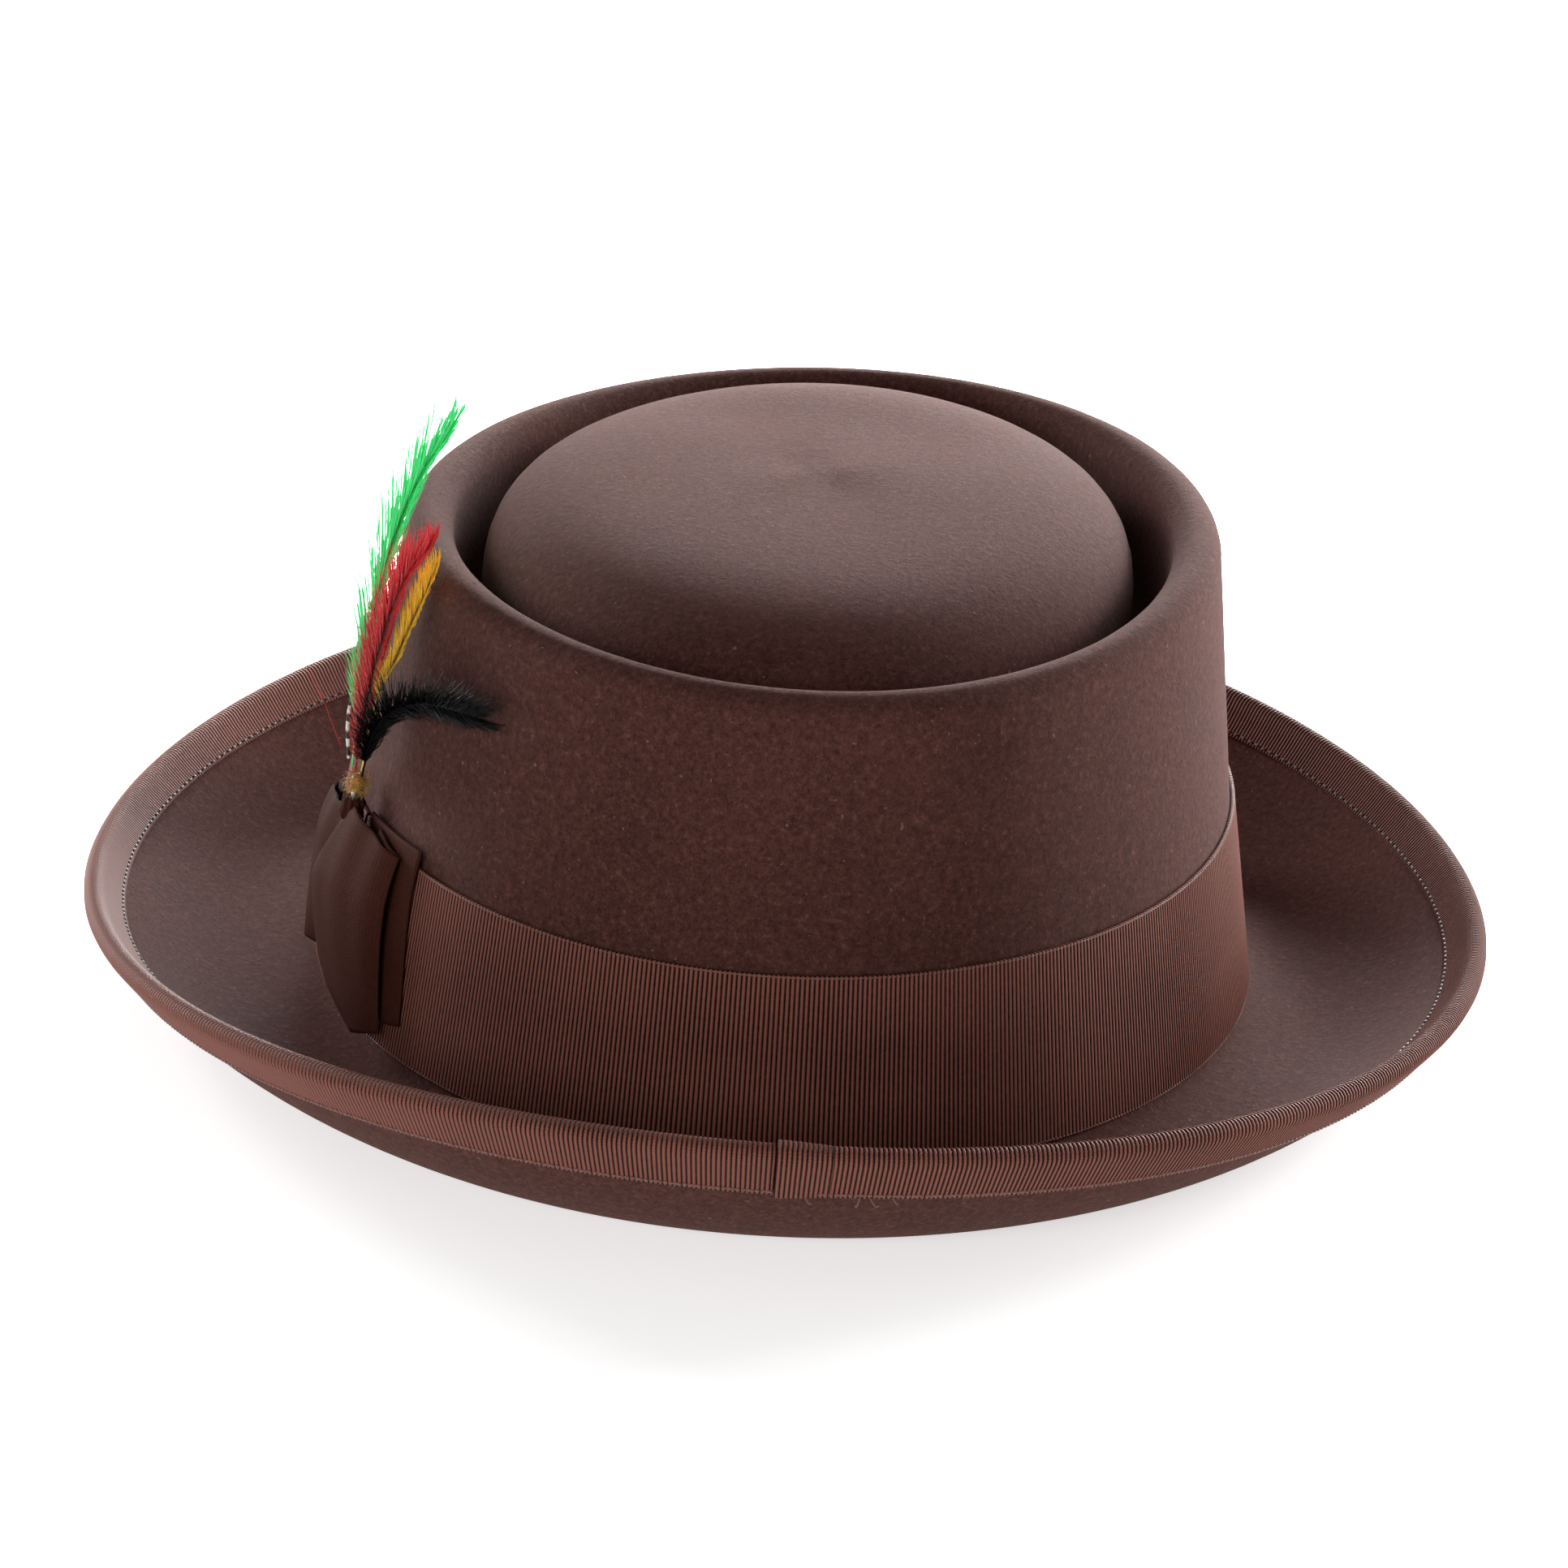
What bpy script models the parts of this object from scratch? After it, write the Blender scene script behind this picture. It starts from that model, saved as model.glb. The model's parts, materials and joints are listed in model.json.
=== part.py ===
"""Felt hat with a telescope crown, a curled bound brim, a ribbon band, a side
bow and a feather mount that lifts out of the bow.

Metres, +Z up.  +Y is the front of the hat, -Y the back, +X the wearer's
right; the bow and the feathers are on -X.  The hat stands on the underside
of its brim at z = 0.
"""
import math

import bpy
from mathutils import Vector

MM = 0.001
SEGMENTS = 40                    # divisions round every oval
GAP = 0.3 * MM                   # air between neighbouring pieces

# Felt shell
FELT_THICKNESS = 2.35 * MM
WALL_BASE = (90.15 * MM, 105.3 * MM, 5.1 * MM)    # half width, half length, height
WALL_BAND_TOP = (84.0 * MM, 102.4 * MM, 42.7 * MM)
RIM_CENTRE = (72.8 * MM, 93.4 * MM, 89.3 * MM)
RIM_ROLL = 4.8 * MM
RIM_SHIFT_X = 0.8 * MM
RIM_DIP_SIDE = 0.8 * MM          # the rim is a little higher on the wearer's right
RIM_SWAY = 1.1 * MM              # and rises and falls twice round the hat
DOME_HALF = (62.0 * MM, 84.5 * MM)
DOME_HEIGHT = 25.5 * MM
DOME_FOOT_Z = 77.5 * MM
DOME_SQUARENESS = 3.4
GROOVE_BOTTOM_Z = 68.5 * MM
GROOVE_WALL_Z = 71.5 * MM

# Brim
BRIM_EDGE = (133.0 * MM, 142.1 * MM)
BRIM_START_Z = 4.75 * MM
BRIM_EDGE_Z = 22.1 * MM
BRIM_CURL = 4.55 * MM            # front and back stand higher, sides lower
BRIM_TILT = 0.94 * MM            # wearer's right edge a little higher
BRIM_SAG = 0.69                  # how far the brim dips before it curls up
BRIM_POWER = 2.53

# Edge binding and its stitching
BINDING_FROM = 0.892             # fraction of the way out along the brim
STITCH_FROM, STITCH_TO = 0.905, 0.922
BINDING_THICKNESS = 0.7 * MM
THREAD_THICKNESS = 0.45 * MM
JOIN_AT = 275.0                  # degrees; lapped join at the centre back
LAP_WIDTH = 4.2                  # degrees

# Hatband
BAND_THICKNESS = 0.7 * MM
BAND_BOTTOM = 6.0 * MM
BAND_TOP = 42.6 * MM
BAND_ENDS_AT = 206.0             # degrees; the ends meet under the bow
BAND_END_GAP = 0.4               # degrees each side

# Bow
PLY = 0.6 * MM
POCKET_AT = 206.0                # degrees; the feather stem's place
POCKET_STAND_OFF = 3.2 * MM
WRAP_BOTTOM, WRAP_TOP = 42.3 * MM, 46.4 * MM
WRAP_HALF = (3.2 * MM, 2.3 * MM)
WRAP_HOLE = 1.15 * MM

# Feather mount
STEM_RADIUS = 0.8 * MM
STEM_BOTTOM, STEM_TOP = 24.0 * MM, 47.4 * MM
COLLAR_RADIUS, COLLAR_HEIGHT = 2.1 * MM, 3.6 * MM
BLADE_THICKNESS = 0.6 * MM

# Inside
LINING_THICKNESS = 0.4 * MM
LINING_BOTTOM, LINING_TOP = 10.0 * MM, 61.2 * MM
INNER_GAP = 0.45 * MM
TIP_EDGE = (76.5 * MM, 95.3 * MM, 62.2 * MM)
TIP_RISE = 4.0 * MM
PIPING_RADIUS = 0.7 * MM
PIPING_PATH = (77.6 * MM, 96.4 * MM, 62.5 * MM)
SWEATBAND_THICKNESS = 1.2 * MM
SWEATBAND_BOTTOM, SWEATBAND_TOP = 5.0 * MM, 47.0 * MM
REED_RADIUS = 0.9 * MM
REED_PATH = (85.7 * MM, 100.8 * MM, 3.5 * MM)


# ---------------------------------------------------------------- helpers
def make_material(name, colour, roughness):
    material = bpy.data.materials.new(name)
    material.use_nodes = True
    shader = material.node_tree.nodes["Principled BSDF"]
    shader.inputs["Base Color"].default_value = (*colour, 1.0)
    shader.inputs["Roughness"].default_value = roughness
    material.diffuse_color = (*colour, 1.0)
    return material


def add_piece(name, vertices, faces, material):
    """Add one closed piece; points that coincide are merged, faces turned out."""
    import bmesh
    mesh = bpy.data.meshes.new(name)
    mesh.from_pydata([tuple(v) for v in vertices], [], faces)
    bm = bmesh.new()
    bm.from_mesh(mesh)
    bmesh.ops.remove_doubles(bm, verts=bm.verts, dist=1e-6)
    bmesh.ops.recalc_face_normals(bm, faces=bm.faces)
    bm.to_mesh(mesh)
    bm.free()
    piece = bpy.data.objects.new(name, mesh)
    bpy.context.scene.collection.objects.link(piece)
    mesh.materials.append(material)
    return piece


def quad(index, row, column, next_row, next_column):
    return (index(row, column), index(row, next_column),
            index(next_row, next_column), index(next_row, column))


def lathe(name, loops, material):
    """Skin loops of equal length in order; the first and last shrink to a point."""
    count = len(loops[0])
    faces = [quad(lambda r, c: r * count + c, r, c, r + 1, (c + 1) % count)
             for r in range(len(loops) - 1) for c in range(count)]
    return add_piece(name, [p for loop in loops for p in loop], faces, material)


def slab(name, inner, outer, material, wrap_rows=False, wrap_columns=False):
    """A solid between two point grids of the same size."""
    rows, columns = len(inner), len(inner[0])
    shift = rows * columns
    row_steps = [(r, (r + 1) % rows) for r in range(rows if wrap_rows else rows - 1)]
    column_steps = [(c, (c + 1) % columns)
                    for c in range(columns if wrap_columns else columns - 1)]
    faces = []
    for r, next_r in row_steps:
        for c, next_c in column_steps:
            face = (r * columns + c, r * columns + next_c,
                    next_r * columns + next_c, next_r * columns + c)
            faces.append(tuple(i + shift for i in face))
            faces.append(face[::-1])
    if not wrap_rows:
        for r in (0, rows - 1):
            for c, next_c in column_steps:
                a, b = r * columns + c, r * columns + next_c
                faces.append((a, b, b + shift, a + shift))
    if not wrap_columns:
        for c in (0, columns - 1):
            for r, next_r in row_steps:
                a, b = r * columns + c, next_r * columns + c
                faces.append((a, b, b + shift, a + shift))
    points = [p for row in inner for p in row] + [p for row in outer for p in row]
    return add_piece(name, points, faces, material)


def tube(name, path, radii, material, sides=8, closed=False):
    """A round solid along a path, with flat ends unless it closes on itself."""
    loops = []
    for i, point in enumerate(path):
        before = path[i - 1] if closed or i else point
        after = path[(i + 1) % len(path)] if closed or i + 1 < len(path) else point
        along = (after - before).normalized()
        across = along.cross(Vector((0, 0, 1)))
        if across.length < 0.3:
            across = along.cross(Vector((1, 0, 0)))
        across.normalize()
        up = across.cross(along)
        radius = radii[i] if isinstance(radii, list) else radii
        loops.append([point + radius * (math.cos(t) * across + math.sin(t) * up)
                      for t in (math.tau * k / sides for k in range(sides))])
    faces = []
    for i in range(len(path) if closed else len(path) - 1):
        j = (i + 1) % len(path)
        for k in range(sides):
            m = (k + 1) % sides
            faces.append((i * sides + k, i * sides + m, j * sides + m, j * sides + k))
    if not closed:
        faces.append(tuple(range(sides)))
        faces.append(tuple((len(path) - 1) * sides + k for k in range(sides)))
    return add_piece(name, [p for loop in loops for p in loop], faces, material)


def grid_normals(grid, wrap_rows=False):
    """Unit normals of a point grid, on the side of (along columns) x (along rows)."""
    rows, columns = len(grid), len(grid[0])

    def step(points, i, wrap):
        last = len(points) - 1
        before = points[i - 1] if i or wrap else points[i]
        after = points[(i + 1) % len(points)] if i < last or wrap else points[i]
        a, b = points[i] - before, after - points[i]
        return (a.normalized() if a.length > 1e-9 else a) + \
               (b.normalized() if b.length > 1e-9 else b)

    return [[step(grid[r], c, False)
             .cross(step([grid[k][c] for k in range(rows)], r, wrap_rows)).normalized()
             for c in range(columns)] for r in range(rows)]


def thicken(name, grid, low, high, material, wrap_rows=False):
    """A solid from low to high above a grid, measured along its normals."""
    normals = grid_normals(grid, wrap_rows)

    def moved(distance):
        return [[p + n * distance for p, n in zip(row, row_normals)]
                for row, row_normals in zip(grid, normals)]

    return slab(name, moved(low), moved(high), material, wrap_rows=wrap_rows)


def mix(a, b, t):
    return a + (b - a) * t


def table(values, t):
    """Read evenly spaced values at t = 0..1."""
    x = t * (len(values) - 1)
    i = min(int(x), len(values) - 2)
    return mix(values[i], values[i + 1], x - i)


def angles(count=SEGMENTS):
    return [math.tau * k / count for k in range(count)]


def oval(half_x, half_y, z, theta):
    return Vector((half_x * math.cos(theta), half_y * math.sin(theta), z))


def faceted_angles(start_deg, stop_deg):
    """The hat's own division angles between two ends, and the ends themselves."""
    step = 360.0 / SEGMENTS
    inside = [k * step for k in range(2 * SEGMENTS)
              if start_deg + 0.01 < k * step < stop_deg - 0.01]
    return [math.radians(a) for a in (start_deg, *inside, stop_deg)]


def facet_point(point_at, theta):
    """A point on the straight side between two neighbouring division angles."""
    x = theta / (math.tau / SEGMENTS)
    k = math.floor(x + 1e-6)
    a, b = (math.tau * n / SEGMENTS for n in (k, k + 1))
    return mix(point_at(a), point_at(b), max(0.0, x - k))


# ---------------------------------------------------------------- hat surface
def rim_wave(theta):
    """The hand-shaped rim isn't quite level."""
    return RIM_DIP_SIDE * math.cos(theta) + RIM_SWAY * math.sin(2 * theta + 0.6)


def wall_oval(z):
    """Half width and half length of the crown's outer felt surface."""
    base, top, rim = WALL_BASE, WALL_BAND_TOP, RIM_CENTRE
    if z <= top[2]:
        t = (z - base[2]) / (top[2] - base[2])
        return mix(base[0], top[0], t), mix(base[1], top[1], t)
    t = (z - top[2]) / (rim[2] - top[2])
    return (mix(top[0], rim[0] + RIM_ROLL, t), mix(top[1], rim[1] + RIM_ROLL, t))


def brim_point(theta, s):
    """Top of the brim; s runs from 0 at the crown to 1 at the edge."""
    edge_z = (BRIM_EDGE_Z - BRIM_CURL * math.cos(2 * theta)
              + BRIM_TILT * math.cos(theta))
    profile = (1 + BRIM_SAG) * s ** BRIM_POWER - BRIM_SAG * s
    point = oval(mix(WALL_BASE[0], BRIM_EDGE[0], s),
                 mix(WALL_BASE[1], BRIM_EDGE[1], s), 0, theta)
    point.z = BRIM_START_Z + (edge_z - BRIM_START_Z) * profile
    return point


BRIM_STEPS = (0.03, 0.12, 0.26, 0.34, 0.46, 0.58, 0.70, 0.80,
              BINDING_FROM, STITCH_FROM, STITCH_TO, 0.94, 1.0)


def crown_rows():
    """Rings of the outer surface from the dome's top to the wall's foot:
    half width, half length, height and how much of the rim's wave they take."""
    rows = []
    for phi in (0, 3, 10, 22, 38, 55, 70, 82, 90):
        radius = math.sin(math.radians(phi)) ** (2 / DOME_SQUARENESS)
        height = abs(math.cos(math.radians(phi))) ** (2 / DOME_SQUARENESS)
        rows.append((DOME_HALF[0] * radius, DOME_HALF[1] * radius,
                     DOME_FOOT_Z + DOME_HEIGHT * height, 0.3))
    lip = (RIM_CENTRE[0] - RIM_ROLL, RIM_CENTRE[1] - RIM_ROLL)
    for t, z in ((0, GROOVE_WALL_Z), (0.15, mix(GROOVE_BOTTOM_Z, GROOVE_WALL_Z, 0.3)),
                 (0.5, GROOVE_BOTTOM_Z),
                 (0.85, mix(GROOVE_BOTTOM_Z, GROOVE_WALL_Z, 0.3)), (1, GROOVE_WALL_Z)):
        rows.append((mix(DOME_HALF[0], lip[0], t), mix(DOME_HALF[1], lip[1], t), z, 0.3))
    for roll in (180, 140, 100, 60, 20, -8):
        out = RIM_ROLL * math.cos(math.radians(roll))
        rows.append((RIM_CENTRE[0] + out, RIM_CENTRE[1] + out,
                     RIM_CENTRE[2] + RIM_ROLL * math.sin(math.radians(roll)), 1.0))
    rows.append((*wall_oval(64 * MM), 64 * MM, 0.3))
    rows.append((*wall_oval(BAND_TOP), BAND_TOP, 0.0))
    rows.append((*wall_oval(24 * MM), 24 * MM, 0.0))
    rows.append((*WALL_BASE[:2], WALL_BASE[2] + 0.3 * MM, 0.0))
    return rows


def crown_point(row, theta):
    half_x, half_y, z, wave = row
    point = oval(half_x, half_y, z + wave * rim_wave(theta), theta)
    point.x += wave * RIM_SHIFT_X
    return point


def felt_section(theta):
    """Outer surface from the top of the dome to the brim's edge."""
    return ([crown_point(row, theta) for row in crown_rows()]
            + [brim_point(theta, s) for s in BRIM_STEPS])


def build_felt(material):
    outer = [felt_section(t) for t in angles()]
    normals = grid_normals(outer, wrap_rows=True)
    loops = [[column[i] for column in outer] for i in range(len(outer[0]))]
    under = [[column[i] - FELT_THICKNESS * n[i] for column, n in zip(outer, normals)]
             for i in range(len(outer[0]))]
    top = DOME_FOOT_Z + DOME_HEIGHT
    under[0] = [Vector((RIM_SHIFT_X * 0.3, 0, top - FELT_THICKNESS))] * SEGMENTS
    loops[0] = [Vector((RIM_SHIFT_X * 0.3, 0, top))] * SEGMENTS
    for loop in under:                      # the brim rests flat on the table
        for point in loop:
            point.z = max(point.z, 0.0)
    edge = []
    for a, b, before in zip(loops[-1], under[-1], loops[-2]):
        outwards = (a - before).normalized()
        edge.append((a + b) / 2 + outwards * FELT_THICKNESS / 2)
    return lathe("felt_body", loops + [edge] + under[::-1], material)


def binding_section(theta):
    """Felt edge from the binding's upper border, round the edge, to its lower."""
    first = BRIM_STEPS.index(BINDING_FROM)
    step = math.tau / SEGMENTS
    columns = [felt_section(theta + k * step) for k in (-1, 0, 1)]
    normals = [n for n in grid_normals(columns)[1]][-len(BRIM_STEPS) + first:]
    top = columns[1][-len(BRIM_STEPS) + first:]
    under = [p - n * FELT_THICKNESS for p, n in zip(top, normals)]
    outwards = (top[-1] - top[-2]).normalized()
    edge = (top[-1] + under[-1]) / 2 + outwards * FELT_THICKNESS / 2
    return top + [edge] + under[::-1]


def binding_grid(start_deg, stop_deg, first=0, last=None):
    """Grid over the brim's edge whose sides lie on the felt's own facets."""
    grid = []
    for theta in faceted_angles(start_deg, stop_deg):
        k = math.floor(theta / (math.tau / SEGMENTS) + 1e-6)
        a, b = (binding_section(math.tau * n / SEGMENTS) for n in (k, k + 1))
        t = max(0.0, theta / (math.tau / SEGMENTS) - k)
        grid.append([mix(p, q, t) for p, q in zip(a, b)][first:last])
    return grid


def thicken_edge(name, start_deg, stop_deg, low, high, material, first=0, last=None):
    """Part of the binding between two heights above the felt."""
    whole = binding_grid(start_deg, stop_deg)
    normals = grid_normals(whole)
    picked = slice(first, last)

    def moved(distance):
        return [[p + n * distance for p, n in zip(row[picked], ns[picked])]
                for row, ns in zip(whole, normals)]

    return slab(name, moved(low), moved(high), material)


def build_binding(ribbon, lap_ribbon, top_thread, under_thread):
    low, high = GAP, GAP + BINDING_THICKNESS
    thicken_edge("brim_binding", JOIN_AT + 0.1, JOIN_AT + 359.9, low, high, ribbon)
    low, high = high + GAP, high + GAP + BINDING_THICKNESS
    thicken_edge("binding_lap", JOIN_AT, JOIN_AT + LAP_WIDTH, low, high, lap_ribbon)
    start, stop = JOIN_AT + LAP_WIDTH + 0.3, JOIN_AT + 359.6
    low = GAP + BINDING_THICKNESS + GAP
    thicken_edge("binding_top_thread", start, stop, low, low + THREAD_THICKNESS,
                 top_thread, 1, 3)
    thicken_edge("binding_under_thread", start, stop, low, low + THREAD_THICKNESS,
                 under_thread, -3, -1)


# ---------------------------------------------------------------- band and bow
def wall_ring(z, offset, theta):
    half_x, half_y = wall_oval(z)
    return oval(half_x + offset, half_y + offset, z, theta)


def ring_slab(name, heights, low, high, material, start_deg=None, stop_deg=None):
    """A band round the crown between two offsets from the felt's outside."""
    whole = start_deg is None
    thetas = angles() if whole else faceted_angles(start_deg, stop_deg)

    def grid(offset):
        return [[facet_point(lambda a: wall_ring(z, offset, a), t) for z in heights]
                for t in thetas]

    return slab(name, grid(low), grid(high), material, wrap_rows=whole)


def build_hatband(material):
    low = GAP + 0.02 * MM
    ring_slab("hatband", (BAND_BOTTOM, BAND_TOP), low, low + BAND_THICKNESS, material,
              BAND_ENDS_AT + BAND_END_GAP, BAND_ENDS_AT + 360 - BAND_END_GAP)


def bow_point(degrees, z, stand_off):
    """A point outside the hatband; the band's slope runs on above and below it."""
    base, top = WALL_BASE, WALL_BAND_TOP
    t = (z - base[2]) / (top[2] - base[2])
    out = GAP + BAND_THICKNESS + stand_off
    return oval(mix(base[0], top[0], t) + out, mix(base[1], top[1], t) + out, z,
                math.radians(degrees))


def bow_ply(name, near, far, section, material, rows=7):
    """A folded ribbon: near and far are its side edges as (degrees, heights) from
    top to bottom; section lists (fraction from near to far, stand-off) across it."""
    grid = []
    for i in range(rows):
        v = i / (rows - 1)
        near_deg, near_z = table(near[0], v), table(near[1], v) * MM
        far_deg, far_z = table(far[0], v), table(far[1], v) * MM
        puff = 1.0 - 0.45 * v * v           # the fold flattens towards its tip
        grid.append([bow_point(mix(near_deg, far_deg, f), mix(near_z, far_z, f),
                               (0.65 + (n - 0.65) * puff if n > 0.65 else n) * MM)
                     for f, n in section])
    return thicken(name, grid, -PLY / 2, PLY / 2, material)


def pocket_frame():
    """Origin and axes of the feather pocket: along the crown, out, and up the wall."""
    foot, head = (bow_point(POCKET_AT, z, POCKET_STAND_OFF) for z in (0.0, 40 * MM))
    up = (head - foot).normalized()
    side = (bow_point(POCKET_AT + 1, 0.0, POCKET_STAND_OFF) - foot).normalized()
    out = side.cross(up).normalized()
    if out.x > 0:
        out = -out
    return foot, (side - up * side.dot(up)).normalized(), out, up


def pocket_point(side, out, z):
    foot, side_axis, out_axis, up_axis = pocket_frame()
    return foot + side_axis * side + out_axis * out + up_axis * (z / up_axis.z)


def build_bow(ribbon, back_ribbon, wing_ribbon, wrap_ribbon):
    bow_ply("bow_back_layer",
            ([209.0, 209.5, 211.0, 215.0, 221.5], [45.4, 35.0, 25.0, 16.0, 11.5]),
            ([222.8, 222.0, 222.6, 223.5, 224.2], [46.6, 38.0, 29.0, 20.5, 12.8]),
            [(0.0, 0.65), (0.35, 0.65), (0.7, 0.65), (1.0, 0.65)], back_ribbon)
    bow_ply("bow_front_loop",
            ([203.0, 201.6, 204.0, 209.5, 218.0], [41.2, 32.0, 23.0, 14.0, 8.0]),
            ([219.6, 219.2, 219.5, 220.6, 221.6], [44.8, 36.0, 27.0, 18.0, 10.0]),
            [(0.0, 6.6), (0.25, 7.0), (0.5, 6.6), (0.78, 5.2), (0.96, 3.8),
             (1.0, 3.1), (0.95, 2.7), (0.8, 2.6), (0.62, 2.6)], ribbon)
    bow_ply("bow_side_wing",
            ([204.4, 203.0, 201.0, 198.5, 196.0], [41.2, 33.0, 24.0, 15.5, 9.0]),
            ([188.0, 186.0, 185.5, 188.0, 192.5], [36.5, 31.0, 24.0, 16.0, 8.5]),
            [(0.0, 0.65), (0.2, 2.0), (0.5, 3.9), (0.8, 4.0), (0.97, 3.0),
             (1.0, 2.2), (0.95, 1.5), (0.75, 0.9)], wing_ribbon)
    levels = (WRAP_BOTTOM, mix(WRAP_BOTTOM, WRAP_TOP, 0.5), WRAP_TOP)
    around = [math.tau * k / 16 for k in range(16)]

    def loop(half_side, half_out, z, square):
        return [pocket_point(
            half_side * math.copysign(abs(math.cos(t)) ** square, math.cos(t)),
            half_out * math.copysign(abs(math.sin(t)) ** square, math.sin(t)), z)
            for t in around]

    slab("bow_centre_wrap",
         [loop(WRAP_HOLE, WRAP_HOLE, z, 1.0) for z in levels],
         [loop(WRAP_HALF[0], WRAP_HALF[1], z, 0.6) for z in levels],
         wrap_ribbon, wrap_columns=True)


# ---------------------------------------------------------------- feathers
def smooth_path(points, count):
    """Catmull-Rom curve through a few points given in millimetres."""
    knots = [Vector(p) * MM for p in points]
    knots = [2 * knots[0] - knots[1], *knots, 2 * knots[-1] - knots[-2]]
    spans = len(knots) - 3
    path = []
    for i in range(count):
        x = i / (count - 1) * spans
        k = min(int(x), spans - 1)
        t = x - k
        a, b, c, d = knots[k:k + 4]
        path.append(0.5 * (2 * b + (c - a) * t + (2 * a - 5 * b + 4 * c - d) * t ** 2
                           + (3 * b - a - 3 * c + d) * t ** 3))
    return path


def blade(name, points, half_widths, facing, material, count=12):
    """A thin feather vane along a curve, broadside on to the facing direction."""
    path = smooth_path(points, count)
    facing = Vector(facing).normalized()
    grid = []
    for i, point in enumerate(path):
        along = (path[min(i + 1, count - 1)] - path[max(i - 1, 0)]).normalized()
        across = along.cross(facing).normalized()
        half = table(half_widths, i / (count - 1)) * MM
        grid.append([point - across * half, point, point + across * half])
    return thicken(name, grid, -BLADE_THICKNESS / 2, BLADE_THICKNESS / 2, material)


def build_feathers(mats):
    stem = [pocket_point(0, 0, z) for z in (STEM_BOTTOM, mix(STEM_BOTTOM, STEM_TOP, 0.5),
                                            STEM_TOP)]
    tube("feather_stem", stem, [0.5 * STEM_RADIUS, STEM_RADIUS, STEM_RADIUS],
         mats["stem"])
    collar_from = STEM_TOP + GAP
    heights = [collar_from + COLLAR_HEIGHT * t for t in (0, 0.15, 0.5, 0.85, 1)]
    tube("feather_collar", [pocket_point(0, 0, z) for z in heights],
         [COLLAR_RADIUS * k for k in (0.7, 0.95, 1.0, 0.9, 0.6)], mats["collar"])
    camera_side = (0.35, -0.93, 0.1)
    blade("green_feather", [(-79.6, -45.4, 54), (-78.4, -46, 70), (-75.2, -46, 86),
                            (-72.0, -46, 103), (-67.0, -46, 118), (-61.0, -46, 127)],
          [0.5, 1.0, 1.6, 2.6, 3.0, 2.2, 1.0, 0.3], camera_side, mats["green"])
    blade("red_feather", [(-78.8, -47.6, 54), (-76.8, -50.0, 66), (-73.6, -53.0, 82),
                          (-70.0, -55.6, 93.5), (-64.6, -58.0, 103.5)],
          [0.5, 1.6, 2.4, 3.4, 4.6, 4.0, 1.0], camera_side, mats["red"])
    blade("yellow_feather", [(-77.2, -49.6, 55), (-74.4, -52.6, 69), (-71.0, -54.6, 78),
                             (-67.0, -57.2, 89), (-63.4, -60, 98.5)],
          [0.4, 0.8, 1.6, 2.6, 2.4, 1.4, 0.4], camera_side, mats["yellow"])
    blade("black_feather", [(-76.8, -52.0, 53), (-74.4, -56.4, 63), (-70.4, -61.4, 70),
                            (-64.6, -68.6, 74.8), (-58.6, -75.6, 77.2),
                            (-51.4, -82.4, 78.4)],
          [0.5, 1.5, 3.0, 4.0, 3.4, 2.0, 0.5], (-0.75, -0.6, 0.2), mats["black"])
    tube("barred_quill", smooth_path([(-80.6, -43.8, 53.6), (-81.0, -43.6, 60),
                                      (-80.4, -43.6, 67)], 5),
         [0.35 * MM, 0.4 * MM, 0.4 * MM, 0.35 * MM, 0.2 * MM], mats["quill"], sides=6)
    tube("red_filament", smooth_path([(-82.4, -44.6, 56.5), (-86.2, -45, 66),
                                      (-90.6, -45, 74.5)], 5),
         0.25 * MM, mats["filament"], sides=5)


# ---------------------------------------------------------------- inside
def build_inside(mats):
    wall = FELT_THICKNESS + 0.03 * MM
    high = -(wall + INNER_GAP)
    low = high - LINING_THICKNESS
    ring_slab("lining_side", (LINING_BOTTOM, BAND_TOP, LINING_TOP), low, high,
              mats["lining"])
    high = low - INNER_GAP
    low = high - SWEATBAND_THICKNESS
    ring_slab("sweatband", (SWEATBAND_BOTTOM, BAND_TOP, SWEATBAND_TOP), low, high,
              mats["sweatband"])
    ring_slab("sweatband_stitching", (7.2 * MM, 7.8 * MM), low - GAP - 0.4 * MM,
              low - GAP, mats["sweat_thread"])

    rings = (1.0, 0.85, 0.6, 0.3, 0.0)

    def tip_loop(k, lift):
        z = TIP_EDGE[2] + lift + TIP_RISE * (1 - k * k)
        return [oval(TIP_EDGE[0] * k, TIP_EDGE[1] * k, z, t) for t in angles()]

    lathe("lining_tip", [tip_loop(0.0, 0.0)] + [tip_loop(k, 0.0) for k in rings[3::-1]]
          + [tip_loop(k, LINING_THICKNESS) for k in rings], mats["tip"])
    tube("lining_piping", [oval(*PIPING_PATH, t) for t in angles()], PIPING_RADIUS,
         mats["piping"], sides=6, closed=True)
    tube("sweatband_reed", [oval(*REED_PATH, t) for t in angles()], REED_RADIUS,
         mats["reed"], sides=6, closed=True)

    half_heights = (4.0, 4.2, 3.2, 1.4, 1.4, 3.2, 4.2, 4.0)
    bow_at, bow_z = 270.0, 14 * MM

    def bow_grid(offset):
        grid = []
        for i, half in enumerate(half_heights):
            theta = math.radians(bow_at + 12.0 * (i / (len(half_heights) - 1) - 0.5))
            grid.append([wall_ring(bow_z + k * half * MM, offset, theta)
                         for k in (-1, 0, 1)])
        return grid

    inside_face = low - GAP - 0.55 * MM
    slab("sweatband_bow", bow_grid(inside_face - 0.8 * MM), bow_grid(inside_face),
         mats["sweat_bow"])


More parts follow.
